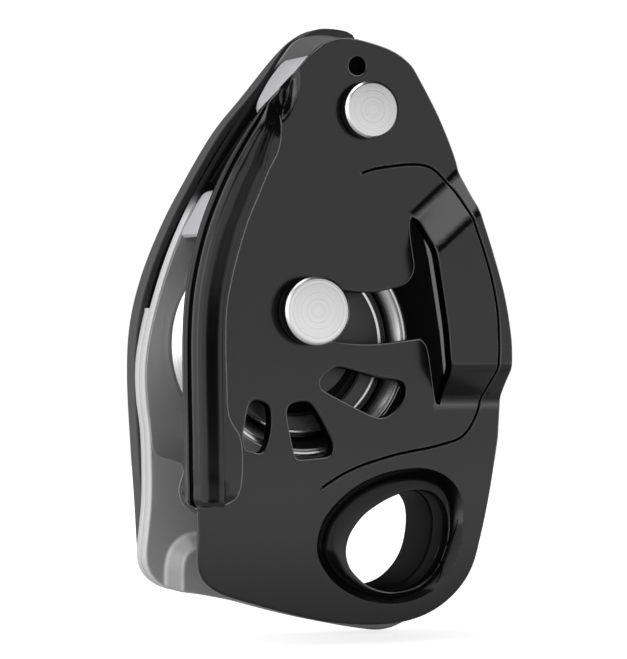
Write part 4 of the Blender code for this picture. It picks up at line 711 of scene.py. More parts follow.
# Across the lip: distance from its edge, and height above the face of the plate
LIP_SECTION = np.array((
    (0.0, 1.72), (0.04, 1.81), (0.12, 1.85), (0.3, 1.85), (0.36, 1.6), (0.7, 1.2), (0.78, 1.38), (0.95, 1.64),
    (1.15, 1.91), (1.4, 2.18), (1.7, 2.43), (2.05, 2.63), (2.4, 2.75), (2.75, 2.81), (3.1, 2.81), (3.4, 2.77),
    (3.7, 2.69), (4.0, 2.57), (4.4, 2.37), (4.85, 2.12), (5.3, 1.88), (5.75, 1.68), (6.15, 1.57),
    (6.55, 1.52), (6.95, 1.5), (7.2, 1.35)))
LIP_BEHIND = ((7.2, -1.0), (4.2, -1.6), (3.6, -2.95), (3.0, -2.95), (2.4, -2.75), (1.5, -2.2), (0.8, -1.5),
              (0.3, -0.75), (0.12, -0.25), (0.0, -0.1))
LIP_BED = np.array(((0.0, 1.2), (0.7, 0.9), (1.2, 1.2), (5.8, 1.2), (6.4, 1.35), (6.9, 1.5), (8.0, 1.5)))
LIP_UNDERSIDE = np.array(((0.0, 3.15), (0.3, 2.55), (0.8, 1.75), (1.5, 1.05), (2.4, 0.4), (3.4, 0.0)))
LIP_FADE = (81.2, 75.4)
LIP_NARROWS = ((62.0, 70.0, 76.0, 80.0), (1.0, 0.92, 0.62, 0.42))
LIP_TOP = 80.2
LIP_BOTTOM = 7.4
LIP_CORNER = 1.4
LIP_SINK = 0.35
LIP_RIGHT = -18.0
LIP_FOOT_X = -42.85
FLANGE_TOP = 78.0
FLANGE_STEPS = (0.05, 0.15, 0.3, 0.42)
FLANGE_LIFT = (0.8, 0.93, 1.0, 1.0)
FLANGE_FOOT = ((-41.022, 7.245), (-41.067, 7.334), (-41.134, 7.468), (-41.188, 7.576))
# Painted highlight on the moving plate's rims: lighter where a rim faces the bright side, plus a base amount
BRIGHT_SIDE = Vector((0.85, 0.0, 0.53))
RIM_LIGHT = 1.3
RIM_BASE = 0.25
# Painted highlight along the foot of the strap's lower bend
BEND_LIGHT = 0.3
BEND_REACH = 1.0
BEND_FROM = 5.2
CAVITY = (-23.4, 80.6)
CAVITY_REACH = (1.7, 4.8)
CAVITY_TURN = 18.0
CAVITY_DEPTH = 1.5
CAVITY_FROM = 70.0
CAVITY_BOX = (3.2, 5.8)
SLOT_HALF = 4.35
SLOT_EXTRA = 0.6
KEEPER_HOLE = (-9.9, 86.0)
KEEPER_RADIUS = 1.65
MOVING_RIM = 0.3
MOVING_STEP = 0.6

rope_line = smooth(ROPE_LINE, 0.6, closed=False)
left_edge = [p for p in smooth(MOVING_RIGHT, 1.0, closed=False) if p[0] < -6.0] + lip_path
left_edge += [p for p in smooth(MOVING_BOTTOM, 1.0, closed=False) if p[0] < -34.0]
EDGE_THIN = ((0.0, 0.4, 3.4), (1.9, 1.8, 0.0))
lip_zone = flange_path + [(-50.0, 7.2), (-50.0, 60.0), (-30.0, 92.0)]


def strap_lift(x, z):
    (top_x, top_z), (low_x, low_z) = STRAP_SIDE
    inner = top_x + (z - top_z) * (low_x - top_x) / (low_z - top_z)
    across = (x - FOLD_POINT[0]) * FOLD_NORMAL[0] + (z - FOLD_POINT[1]) * FOLD_NORMAL[1]
    lift = STRAP_RAISE * np.minimum(eased(across, UPPER_RUN), eased(z - LOWER_START, LOWER_RUN))
    return np.where((z < LOWER_START) | (x < inner), 0.0, lift)


def dish_fall(x, z):
    outer = radius_of(dish_loop, x, z)
    inner = radius_of(hole_loop, x, z)
    t = np.clip((outer - np.hypot(x, z)) / (outer - inner), 0.0, 1.0)
    return DISH_DEPTH * (1.0 - (1.0 - t) ** DISH_CURVE)


def lip_width(z):
    return np.interp(z, *LIP_NARROWS)


def lip_rise(x, z):
    gap, near_z = gap_to(lip_path, x, z)
    rise = np.interp(gap / lip_width(near_z), LIP_BED[:, 0], LIP_BED[:, 1]) * smoothstep(near_z, *LIP_FADE)
    edge = gap_to(flange_path, x, z)[0]
    wall = np.interp(edge, (0.0,) + FLANGE_STEPS, (0.0,) + FLANGE_LIFT)
    low_end = 0.6 + 0.4 * smoothstep(z, LIP_BOTTOM + 0.4, LIP_BOTTOM + 1.8)
    return np.where(within(lip_zone, x, z), rise * wall * low_end, 0.0)


def groove_depth(x, z):
    gap = gap_to(rope_line, x, z)[0]
    return np.interp(gap, (LINE_FLOOR, LINE_HALF_WIDTH), (LINE_DEPTH, 0.0))


def cavity_depth(x, z):
    """The creased hollow where the lip runs out, at the top left."""
    turn = math.radians(CAVITY_TURN)
    along = (x - CAVITY[0]) * math.sin(turn) + (z - CAVITY[1]) * math.cos(turn)
    across = (x - CAVITY[0]) * math.cos(turn) - (z - CAVITY[1]) * math.sin(turn)
    reach = np.hypot(across / CAVITY_REACH[0], along / CAVITY_REACH[1])
    crease = 1.0 + 0.14 * np.sin(3.6 * across + 0.9 * np.sin(0.8 * along)) + 0.05 * np.sin(1.3 * along)
    return CAVITY_DEPTH * smoothstep(reach, 1.2, 0.4) * crease


def pressed(x, z, face):
    """One face of the plate, with the raised strap and the dish pressed into it."""
    height = face - np.where(x > STRAP_LEFT, strap_lift(x, z), 0.0)
    return height + np.where((z < DISH_TOP) & (x > DISH_LEFT), dish_fall(x, z), 0.0)


def moving_front(x, z):
    height = pressed(x, z, MOVING_FRONT) - np.where(x < LIP_RIGHT, lip_rise(x, z), 0.0)
    height += np.where((x < LIP_RIGHT) & (z > CAVITY_FROM), cavity_depth(x, z), 0.0)
    return height + groove_depth(x, z)


def moving_back(x, z):
    gap, near_z = gap_to(lip_path, x, z)
    under = np.interp(gap, LIP_UNDERSIDE[:, 0], LIP_UNDERSIDE[:, 1]) * smoothstep(near_z, *LIP_FADE)
    under = np.where((x < LIP_RIGHT - 2.0) & (z > LIP_BOTTOM), under, 0.0)
    thin = np.interp(gap_to(left_edge, x, z)[0], *EDGE_THIN)
    return pressed(x, z, MOVING_BACK) - np.maximum(under, thin)


def offset_path(path, distance, closed=True):
    """Move a path sideways; a closed one outwards, or inwards when negative."""
    count = len(path)
    area = sum(a[0] * b[1] - b[0] * a[1] for a, b in zip(path, path[1:] + path[:1]))
    side = distance if area > 0 or not closed else -distance
    result = []
    for i in range(count):
        before = Vector(path[i - 1] if closed else path[max(i - 1, 0)])
        after = Vector(path[(i + 1) % count] if closed else path[min(i + 1, count - 1)])
        along = (after - before).normalized()
        result.append((path[i][0] + along.y * side, path[i][1] - along.x * side))
    return result


def lengthened(path, extra):
    """The path with both ends moved outwards."""
    ends = []
    for end, beside in ((path[0], path[1]), (path[-1], path[-2])):
        away = (Vector(end) - Vector(beside)).normalized()
        ends.append((end[0] + away.x * extra, end[1] + away.y * extra))
    return [ends[0]] + path[1:-1] + [ends[1]]


def ribbon(path, half_width):
    """Closed loop on both sides of a path."""
    return offset_path(path, half_width, closed=False) + offset_path(path, -half_width, closed=False)[::-1]


def axle_slot():
    """The slot for the axle neck, with the open gap beside the strap."""
    radius = math.dist(CAM_AXIS, TOP_AXIS)
    turn = direction(TOP_AXIS, CAM_AXIS)
    loop = arc(TOP_AXIS, radius - SLOT_HALF - SLOT_EXTRA, turn + 20.0, turn, 20)
    loop += arc(CAM_AXIS, SLOT_HALF, turn + 180.0, turn + 360.0, 24)[1:-1]
    loop += arc(TOP_AXIS, radius + SLOT_HALF, turn, turn + 25.0, 24)
    return loop + smooth(list(reversed(VOID_EDGE)), 0.8, closed=False)


def near_cavity(place):
    return (place.x < LIP_RIGHT and abs(place.x - CAVITY[0]) < CAVITY_BOX[0]
            and abs(place.z - CAVITY[1]) < CAVITY_BOX[1])


def build_lip():
    """Rolled lip, drawn from section to section down the rope edge."""
    roll = smooth([tuple(point) for point in LIP_SECTION[5:]], 0.16, closed=False)
    section = np.concatenate((LIP_SECTION[:5], roll, LIP_BEHIND))
    reach = section[:, 0].max()
    along = [p for p in lip_path if 12.0 < p[1] < LIP_TOP]
    along += [(LIP_FOOT_X, z) for z in np.arange(11.4, LIP_BOTTOM + 0.2, -0.5)] + [(LIP_FOOT_X, LIP_BOTTOM)]
    inward = offset_path(along, -1.0, closed=False)
    bm = bmesh.new()
    bm.verts.layers.float.new("rim")
    last = None
    for (x, z), (next_x, next_z) in zip(along, inward):
        drop = max(0.0, LIP_CORNER + LIP_BOTTOM - z)
        corner = LIP_CORNER - math.sqrt(max(0.0, LIP_CORNER ** 2 - drop ** 2))
        across = (corner + section[:, 0] * (reach - corner) / reach) * lip_width(z)
        end = smoothstep(z, LIP_BOTTOM - 0.1, LIP_BOTTOM + 0.5) if z < 9.0 else 1.0
        height = section[:, 1] * (0.8 + 0.2 * end)
        faded = height * smoothstep(z, *LIP_FADE) - LIP_SINK * smoothstep(z, 77.0, 80.0)
        height = np.where(section[:, 1] > 0, faded, height)
        verts = [bm.verts.new((x + (next_x - x) * a, MOVING_FRONT - h, z + (next_z - z) * a))
                 for a, h in zip(across, height)]
        ring = [bm.edges.new(pair) for pair in zip(verts, verts[1:] + verts[:1])]
        if last:
            bmesh.ops.bridge_loops(bm, edges=last + ring)
        else:
            bmesh.ops.triangle_fill(bm, use_beauty=True, edges=ring)
        last = ring
    bmesh.ops.triangle_fill(bm, use_beauty=True, edges=last)
    return finish_piece(bm, "moving_plate_lip", "moving_plate", BLACK_ANODISED, ["moving_side_plate"],
                        sharp=50.0)


def build_moving_plate():
    right = smooth(MOVING_RIGHT, 1.0, closed=False)
    bottom = smooth(MOVING_BOTTOM, 1.0, closed=False)
    walls = [flange_path]
    for step, foot in zip(FLANGE_STEPS, FLANGE_FOOT):
        walls.append([flange_path[0]] + offset_path(flange_path, step, closed=False)[1:-1] + [foot])
    holes = [axle_slot(), circle(TOP_AXIS, AXLE_BORE, 48), circle(KEEPER_HOLE, KEEPER_RADIUS, 32)]
    holes += [smooth(window, 0.7) for window in WINDOWS]
    groove = ribbon(rope_line, LINE_HALF_WIDTH)
    groove_floor = ribbon(rope_line[1:-1], LINE_FLOOR)
    groove_edge = ribbon(lengthened(rope_line, 0.2), LINE_EDGE)
    bm = bmesh.new()
    tucked = offset_path(lip_path, -0.12, closed=False)[:-3] + lip_path[-3:]
    outline = right + tucked + walls[-1][::-1] + walls[0][1:] + bottom
    strips = [[a + b[:0:-1]] for a, b in zip(walls, walls[1:])]
    corners = fill_regions(bm, [[outline, dish_loop, groove_edge] + holes, [groove_edge, groove],
                                [groove, groove_floor], [groove_floor]] + strips)
    fill_dish(bm, corners)
    inner = round_rims(bm, MOVING_RIM)
    centres = np.array([f.calc_center_median() for f in inner])
    outside = np.hypot(centres[:, 0], centres[:, 2]) > radius_of(dish_loop, centres[:, 0], centres[:, 2])
    cut_grid(bm, [face for face, free in zip(inner, outside) if free], MOVING_STEP)
    cut_grid(bm, [f for f in bm.faces if near_cavity(f.calc_center_median())], 0.25)
    painted_shade = bm.verts.layers.float.new("painted_shade")
    front = thicken(bm, moving_front, moving_back, MOVING_RIM)
    bmesh.ops.recalc_face_normals(bm, faces=bm.faces[:])
    bm.normal_update()
    bm.verts.index_update()
    rim = bm.verts.layers.float["rim"]
    # Painted shade: the walls of the windows, slot and holes, but not of the outline, are marked to be
    # painted near black
    walls = [v for v in bm.verts if v[rim] > 0.9]
    places = np.array([v.co for v in walls])
    gaps = gap_to(outline, places[:, 0], places[:, 2], closed=True)[0]
    openings = {v.index for v, gap in zip(walls, gaps) if gap > 0.05}
    # Painted highlight: the rounded front rims are lighter where they face the bright side; other rims get
    # none
    for vert in bm.verts:
        wall = vert[rim] > 0.9
        lit = RIM_LIGHT * vert.normal.dot(BRIGHT_SIDE) + RIM_BASE
        vert[rim] = min(1.0, max(0.0, lit)) if 0.01 < vert[rim] < 0.9 and vert.normal.y < -0.2 else 0.0
        vert[painted_shade] = float(wall and (vert.index in openings))
    places = np.array([v.co for v in front])
    flange, near_z = gap_to(flange_path, places[:, 0], places[:, 2])
    line = gap_to(rope_line, places[:, 0], places[:, 2])[0]
    on_lip = within(lip_zone, places[:, 0], places[:, 2])
    # Painted highlight: a thin light line along the flange wall
    on_wall = (flange > FLANGE_STEPS[0] - 0.01) & (flange < FLANGE_STEPS[2] + 0.01)
    on_wall &= on_lip & (near_z < FLANGE_TOP)
    for vert, depth, lit, aside in zip(front, groove_depth(places[:, 0], places[:, 2]), on_wall, line):
        # Painted shade down the rope groove, darkest on its floor
        vert[painted_shade] = max(vert[painted_shade], depth / LINE_DEPTH)
        # Painted highlight along the foot of the strap's lower bend
        if vert.co.x > BEND_FROM and vert[rim] < 0.01:
            vert[rim] = BEND_LIGHT * max(0.0, 1.0 - abs(vert.co.z - LOWER_START) / BEND_REACH)
        if lit:
            vert[rim] = 0.9
        # Painted highlight on the groove's sloping sides
        if LINE_FLOOR + 0.01 < aside < LINE_HALF_WIDTH + 0.01:
            vert[rim] = 0.3
    return finish_piece(bm, "moving_plate_sheet", "moving_plate", BLACK_ANODISED, ["moving_side_plate"])


# The moving plate's collar is black, made darker and duller as painted shade
sheet_piece("moving_plate_collar", "moving_side_plate", "moving_plate", BORE_SHADE_BLACK,
            [offset_path(hole_loop, COLLAR_WALL), offset_path(hole_loop, 0.03)],
            level(MOVING_FRONT + COLLAR_FROM), level(-COLLAR_GAP))
build_moving_plate()
build_lip()


# Fixed side plate and what is riveted to it


def paint_bore_shade(piece, chosen):
    """Give the chosen faces the bore's painted shade."""
    piece.data.materials.append(BORE_SHADE_BLACK)
    for face, dark in zip(piece.data.polygons, chosen):
        face.material_index = int(dark)


plateau_foot = smooth(PLATEAU_FOOT, 1.2)
PLATEAU_TOP = 18.0
FIXED_RIM = 0.35
FIXED_BORE = 3.05
BEND_ZONE = (-27.0, 4.0)
# Painted shade on the upper left of the fixed plate: full up to the top, partial above it
SHADE_FROM = (59.0, 64.0)
SHADE_TOP = (88.6, 86.4)
SHADE_LEFT_OF = -2.0
SHADE_ABOVE_TOP = 0.45


def fixed_front(x, z):
    gap = gap_to(plateau_foot, x, z, closed=True)[0]
    on_plateau = within(plateau_foot, x, z) & (z < PLATEAU_TOP)
    rise = np.where(on_plateau, PLATEAU_RISE * eased(gap, PLATEAU_RUN), 0.0)
    on_collar = within(offset_path(hole_loop, COLLAR_WALL + 0.05), x, z)
    return np.where(on_collar, COLLAR_GAP, FIXED_FRONT - rise)


def in_bend_zone(place):
    return place.x < BEND_ZONE[0] and place.z < BEND_ZONE[1]


def build_fixed_plate():
    collar = offset_path(hole_loop, COLLAR_WALL)
    foot = offset_path(hole_loop, COLLAR_WALL + 0.1)
    outline = smooth(FIXED_EDGE, 1.0)
    holes = [circle(CAM_AXIS, FIXED_BORE, 32), circle(TOP_AXIS, FIXED_BORE, 32)]
    bm = bmesh.new()
    fill_regions(bm, [[outline, foot] + holes, [foot, collar], [collar, hole_loop]])
    cut_grid(bm, round_rims(bm, FIXED_RIM), 0.8)
    cut_grid(bm, [f for f in bm.faces if in_bend_zone(f.calc_center_median())], 0.3)
    thicken(bm, fixed_front, level(FIXED_BACK), FIXED_RIM)
    rim = bm.verts.layers.float["rim"]
    # Painted shade on the fixed plate's upper part: all its walls there, and the plate left of the line; the
    # rim highlight is taken off there
    painted_shade = bm.verts.layers.float.new("painted_shade")
    for vert in bm.verts:
        upper = float(smoothstep(vert.co.z, *SHADE_FROM))
        shaded = 0.0
        if vert.co.x < SHADE_LEFT_OF:
            shaded = upper * (SHADE_ABOVE_TOP + (1.0 - SHADE_ABOVE_TOP) * float(smoothstep(vert.co.z, *SHADE_TOP)))
        vert[painted_shade] = max(shaded, upper if vert[rim] > 0.9 else 0.0)
        vert[rim] *= 1.0 - upper
    # Painted highlight: two light bands along the bends of the raised plateau
    bends = [v for v in bm.verts if in_bend_zone(v.co) and v.co.y < FIXED_FRONT + 0.1 and v[rim] < 0.1]
    places = np.array([v.co for v in bends])
    gaps = gap_to(plateau_foot, places[:, 0], places[:, 2], closed=True)[0]
    for vert, gap, inside in zip(bends, gaps, within(plateau_foot, places[:, 0], places[:, 2])):
        if inside:
            nearest = min(abs(gap - place) for place in BEND_PLACES)
            vert[rim] = max(0.0, BEND_BRIGHT * (1.0 - nearest / BEND_WIDTH))
    piece = finish_piece(
        bm, "fixed_plate_sheet", "frame", GREY_ANODISED, ["fixed_side_plate"])
    centres = np.array([face.center / MM for face in piece.data.polygons])
    on_collar = within(offset_path(hole_loop, COLLAR_WALL + 0.09), centres[:, 0], centres[:, 2])
    in_bore = within(offset_path(hole_loop, 0.1), centres[:, 0], centres[:, 2])
    paint_bore_shade(piece, in_bore | (on_collar & (centres[:, 1] < FIXED_BACK - 0.6)))


build_fixed_plate()


BACKING_TOP = 42.6
BACKING_INNER_X = -39.3
LEVER_SWEEP = 37.7


def build_backing():
    outline = smooth(FIXED_EDGE, 1.0)
    start = [i for i, p in enumerate(outline) if p[0] < -38.0 and p[1] <= BACKING_TOP][0]
    wide = offset_path(hole_loop, 1.0)
    clear = arc(CAM_AXIS, LEVER_SWEEP, -45.0, -122.0, 90)
    swallowed = within(wide, np.array([p[0] for p in clear]), np.array([p[1] for p in clear]))
    first = int(np.argmax(swallowed))
    last = len(clear) - 1 - int(np.argmax(swallowed[::-1]))
    round_hole = [p for p in wide if math.dist(p, CAM_AXIS) > LEVER_SWEEP]
    turn = max(range(len(round_hole)), key=lambda i: math.dist(round_hole[i], round_hole[i - 1]))
    round_hole = round_hole[turn:] + round_hole[:turn]
    if math.dist(round_hole[0], clear[first]) > math.dist(round_hole[-1], clear[first]):
        round_hole.reverse()
    right = [p for p in outline[:4] if p[1] < 20.0]
    loop = [(outline[start][0] + 0.02, BACKING_TOP)] + outline[start:] + right
    loop += clear[:first] + round_hole + clear[last + 1:] + [(BACKING_INNER_X, BACKING_TOP)]
    piece = sheet_piece("rear_backing_sheet", "rear_backing_plate", "frame", GREY_ANODISED,
                        [loop], level(low("rear_backing_plate").y), level(high("rear_backing_plate").y))
    paint_bore_shade(piece, [math.hypot(face.center.x, face.center.z) < 12.6 * MM and abs(face.normal.y) < 0.5
                       for face in piece.data.polygons])


build_backing()

sheet_piece("wear_strip", "wear_plate", "frame", BRUSHED_STEEL, [smooth(WEAR_EDGE, 0.9)],
            level(FIXED_FRONT - 0.05), level(FIXED_FRONT + 0.7), 0.12)
sheet_piece("brake_pad_block", "brake_pad", "frame", SATIN_ALUMINIUM, [smooth(BRAKE_PAD_EDGE, 0.6)],
            level(low("brake_pad").y), level(high("brake_pad").y), 0.4)
sheet_piece("spacer_block", "top_spacer_block", "frame", SATIN_ALUMINIUM,
            [smooth(SPACER_EDGE, 0.8), circle(TOP_AXIS, 3.1, 32)],
            level(low("top_spacer_block").y), level(high("top_spacer_block").y), 0.5)
for label, face, finish in (("lower", 8.62, DARK_STEEL), ("upper", 8.88, BRUSHED_STEEL)):
    node_name = "wear_plate_rivet_" + label
    turned_piece("wear_rivet_" + label, node_name, "frame", finish, middle(node_name),
                 [(0, face), (1.6, face + 0.02), (2.0, 8.92), (2.0, 8.96), (1.2, 8.96), (1.2, FIXED_BACK),
                  (0, FIXED_BACK)], 0.05, steps=32)
for node_name, shank in (("brake_pad_rivet_lower", 1.1), ("brake_pad_rivet_upper", 1.1),
                         ("spacer_pin_left", 1.3), ("spacer_pin_right", 1.3)):
    foot = low(node_name).y
    top = high(node_name).y
    turned_piece(node_name + "_head", node_name, "frame", PIN_STEEL, middle(node_name),
                 [(0, foot), (shank, foot), (shank, top - 0.9), (shank + 0.4, top - 0.9),
                  (shank + 0.4, top - 0.4), (shank * 0.7, top), (0, top)], steps=40)


# Rivets, axle and washers

HEAD_BACK = MOVING_FRONT - 0.3
head = low("top_pivot_rivet").y
tail = high("top_pivot_rivet").y
turned_piece("top_rivet", "top_pivot_rivet", "frame", RIVET_STEEL, TOP_AXIS,
             [(0, head), (4.75, head), (5.2, head + 0.5), (5.2, HEAD_BACK), (3.0, HEAD_BACK), (3.0, 12.05),
              (4.6, 12.05), (4.6, tail - 0.45), (4.1, tail), (1.6, tail), (1.2, tail + 0.5), (0, tail + 0.5)],
             0.12)
head = low("cam_axle").y
tail = high("cam_axle").y
turned_piece("axle", "cam_axle", "frame", AXLE_STEEL, CAM_AXIS,
             [(0, head), (5.75, head), (6.2, head + 0.45), (6.2, HEAD_BACK), (4.0, HEAD_BACK), (4.0, -5.9),
              (3.0, -5.9), (3.0, 15.75), (4.4, 15.75), (4.4, tail - 0.4), (4.0, tail), (0, tail)], 0.12)
turned_piece("tail_washer", "axle_tail_washer", "frame", PIN_STEEL, CAM_AXIS,
             [(3.05, 14.7), (5.6, 14.7), (5.6, 15.7), (3.05, 15.7)], 0.15, closed=True)
turned_piece("slip_washer", "pivot_slip_washer", "frame", SHADE_BLACK_NYLON, TOP_AXIS,
             [(3.1, -8.7), (10.3, -8.7), (10.3, -7.9), (3.1, -7.9)], 0.12, closed=True)


# Cam, bearing and wheel

DISC_FRONT = low("cam_carrier").y
DISC_BACK = DISC_FRONT + 1.4
DISC_RADIUS = 15.3
BOSS_BACK = 4.2
BOSS_RADIUS = 9.7
HUB_RADIUS = 4.15
WALL_SLOPE = 0.1
CAM_RECESS = (10.1, 12.85)
CAM_RECESS_ENDS = (-165.0, -25.0)
CAM_RIM = 0.25
INNER_RIM_SHARE = 0.25


def cam_back(x, z):
    away = np.hypot(x - WHEEL_AXIS[0], z - WHEEL_AXIS[1])
    height = np.where(away < BOSS_RADIUS + WALL_SLOPE / 5, BOSS_BACK, DISC_BACK)
    on_hub = np.hypot(x - CAM_AXIS[0], z - CAM_AXIS[1]) < HUB_RADIUS + WALL_SLOPE / 2
    return np.where(on_hub & (away < BOSS_RADIUS - WALL_SLOPE), high("cam_carrier").y, height)


def hub_circle(radius, limit):
    """Circle round the axle, pulled in where it would pass the limit round the wheel's axis."""
    loop = []
    for x, z in circle(CAM_AXIS, radius, 48):
        share = min(1.0, limit / math.dist((x, z), WHEEL_AXIS))
        loop.append((WHEEL_AXIS[0] + (x - WHEEL_AXIS[0]) * share,
                     WHEEL_AXIS[1] + (z - WHEEL_AXIS[1]) * share))
    return loop


def build_cam():
    boss = circle(WHEEL_AXIS, BOSS_RADIUS, 96)
    foot = circle(WHEEL_AXIS, BOSS_RADIUS + WALL_SLOPE, 96)
    hub = hub_circle(HUB_RADIUS, BOSS_RADIUS - 0.14)
    hub_foot = hub_circle(HUB_RADIUS + WALL_SLOPE, BOSS_RADIUS - 0.06)
    bore = circle(CAM_AXIS, AXLE_BORE, 48)
    outline = circle(WHEEL_AXIS, DISC_RADIUS, 128)
    window = bent_slot(WHEEL_AXIS, CAM_RECESS, CAM_RECESS_ENDS, 60)
    bm = bmesh.new()
    fill_regions(bm, [[outline, window, foot], [foot, boss], [boss, hub_foot], [hub_foot, hub], [hub, bore]])
    round_rims(bm, CAM_RIM)
    thicken(bm, level(DISC_FRONT), cam_back, CAM_RIM)
    rim = bm.verts.layers.float["rim"]
    # Rims inside the disc keep only a quarter of the rim wear and painted highlight
    for vert in bm.verts:
        if math.dist((vert.co.x, vert.co.z), WHEEL_AXIS) < DISC_RADIUS - 1.3:
            vert[rim] *= INNER_RIM_SHARE
    return finish_piece(bm, "cam_disc", "cam", CAM_BLACK, ["cam_carrier"])


CAM_BLACK = grainy_material(
    "cam grey", (0.045, 0.045, 0.048), (0.06, 0.06, 0.062), 0.4, 0.38, 0.05, 0.2, rim_wear_and_highlight=(0.75, 0.75, 0.76))
build_cam()
turned_piece("release_pin", "cam_release_pin", "cam", PIN_STEEL, middle("cam_release_pin"),
             [(0, -5.2), (1.5, -5.2), (1.5, 14.3), (0, 14.3)], 0.25, steps=32)
turned_piece("anchor_pin", "spring_anchor_pin", "frame", PIN_STEEL, middle("spring_anchor_pin"),
             [(0, 4.5), (1.0, 4.5), (1.0, 12.0), (0, 12.0)], 0.2, steps=32)


BALL_CIRCLE = 13.0
BALL_RADIUS = 1.25
RACE_RADIUS = 1.31
RACE_EDGE = 0.9


def raceway(side):
    """Section of a ball groove: inwards for -1, outwards for 1."""
    half = math.acos(RACE_EDGE / RACE_RADIUS)
    points = []
    for i in range(13):
        angle = -half + 2 * half * i / 12
        points.append((BALL_CIRCLE + side * RACE_RADIUS * math.cos(angle), RACE_RADIUS * math.sin(angle)))
    return points


# The bearing's inner ring and collar get the painted shade
turned_piece("inner_ring", "bearing_inner_ring", "cam", BORE_SHADE_BLACK, WHEEL_AXIS,
             [(10.65, -3.2), (12.1, -3.2)] + raceway(-1) + [(12.1, 3.2), (10.65, 3.2)], 0.1, closed=True)
turned_piece("outer_ring", "bearing_outer_ring", "wheel", RING_STEEL, WHEEL_AXIS,
             [(15.35, -3.2), (13.9, -3.2)] + raceway(1) + [(13.9, 3.2), (15.35, 3.2)], 0.1, closed=True)
turned_piece("ring_collar", "bearing_collar", "cam", BORE_SHADE_BLACK, WHEEL_AXIS,
             [(10.65, 3.25), (12.1, 3.25), (12.1, 4.1), (10.65, 4.1)], 0.12, closed=True)
for i in range(12):
    ball = "bearing_ball_%02d" % (i + 1)
    bm = bmesh.new()
    bmesh.ops.create_uvsphere(bm, u_segments=24, v_segments=16, radius=BALL_RADIUS)
    x, z = middle(ball)
    bmesh.ops.translate(bm, verts=bm.verts[:], vec=(x, 0.0, z))
    finish_piece(bm, "ball_%02d" % (i + 1), "ball_cage", PIN_STEEL, [ball])

WHEEL_SECTION = [
    (15.4, -5.2), (15.9, -5.2), (16.0, -5.45), (16.75, -5.45), (16.85, -5.9), (18.8, -7.95), (18.95, -7.75),
    (19.08, -8.0), (19.15, -8.3), (19.75, -8.3), (20.0, -8.05), (20.0, -7.5), (19.5, -6.9), (18.6, -5.6),
    (17.7, -4.2), (17.0, -2.6), (16.65, -1.2), (16.6, 0.0), (16.65, 1.2), (17.0, 2.6), (17.7, 4.2),
    (18.6, 5.4), (19.5, 6.7), (20.0, 7.3), (20.0, 7.75), (19.75, 8.0), (19.1, 8.0), (16.9, 5.8), (16.7, 5.3),
    (15.4, 5.3)]
turned_piece("wheel", "rope_wheel", "wheel", WHEEL_STEEL, WHEEL_AXIS, WHEEL_SECTION, 0.12,
             closed=True, steps=192)


def build_spring():
    """Wound return spring, from the release pin round the cam hub to the anchor pin."""
    release = middle("cam_release_pin")
    anchor = middle("spring_anchor_pin")
    reach = math.dist(release, CAM_AXIS)
    touch = 0.75
    leg_a = direction(CAM_AXIS, release) - math.degrees((1.5 + touch) / reach)
    leg_b = direction(CAM_AXIS, anchor) % 360.0 + math.degrees((1.0 + touch) / reach)
    start = leg_a + 9.0
    stop = leg_b - 9.0 + 360.0
    wire = 0.45
    y = low("cam_return_spring").y + wire
    path = [(*polar(CAM_AXIS, r, leg_a), y) for r in (9.7, 8.4, 7.1)]
    path.append((*polar(CAM_AXIS, 6.1, leg_a + 3.6), y))
    turns = (stop - start) / 360.0
    count = round(turns * 28)
    rise = high("cam_return_spring").y - wire - y
    for i in range(count + 1):
        t = i / count
        path.append((*polar(CAM_AXIS, 5.75, start + (stop - start) * t), y + rise * t))
    path.append((*polar(CAM_AXIS, 6.1, leg_b - 3.6), y + rise))
    path += [(*polar(CAM_AXIS, r, leg_b), y + rise) for r in (7.1, 8.4, 9.7)]
    curve = bpy.data.curves.new("spring_path", "CURVE")
    curve.dimensions = "3D"
    curve.bevel_depth = wire
    curve.bevel_resolution = 4
    curve.use_fill_caps = True
    line = curve.splines.new("POLY")
    line.points.add(len(path) - 1)
    for point, (x, z, depth) in zip(line.points, path):
        point.co = (x, depth, z, 1.0)
    holder = add_object("spring_path", curve)
    bpy.context.view_layer.update()
    mesh = bpy.data.meshes.new_from_object(holder.evaluated_get(bpy.context.evaluated_depsgraph_get()))
    bpy.data.objects.remove(holder)
    bm = bmesh.new()
    bm.from_mesh(mesh)
    bpy.data.meshes.remove(mesh)
    return finish_piece(bm, "return_spring", "frame", SPRING_STEEL, ["cam_return_spring"])


build_spring()


# Release arm and lever

BUSH_LENGTH = 6.6
ARM_HUB_RADIUS = 12.5
ARM_END_RADIUS = 6.5
ARM_SLOT = (6.7, 10.3)
ARM_SLOT_ENDS = (-118.0, -58.0)
ARM_FRONT = low("release_arm").y
ARM_BACK = high("release_arm").y
LEVER_FRONT = low("handle_lever").y
LEVER_THICK = high("handle_lever").y - LEVER_FRONT


def arm_outline():
    along = direction(CAM_AXIS, LEVER_AXIS)
    spread = math.degrees(math.acos((ARM_HUB_RADIUS - ARM_END_RADIUS) / math.dist(CAM_AXIS, LEVER_AXIS)))
    loop = arc(CAM_AXIS, ARM_HUB_RADIUS, along + spread, along + 360.0 - spread, 72)
    return loop + arc(LEVER_AXIS, ARM_END_RADIUS, along - spread, along + spread, 36)


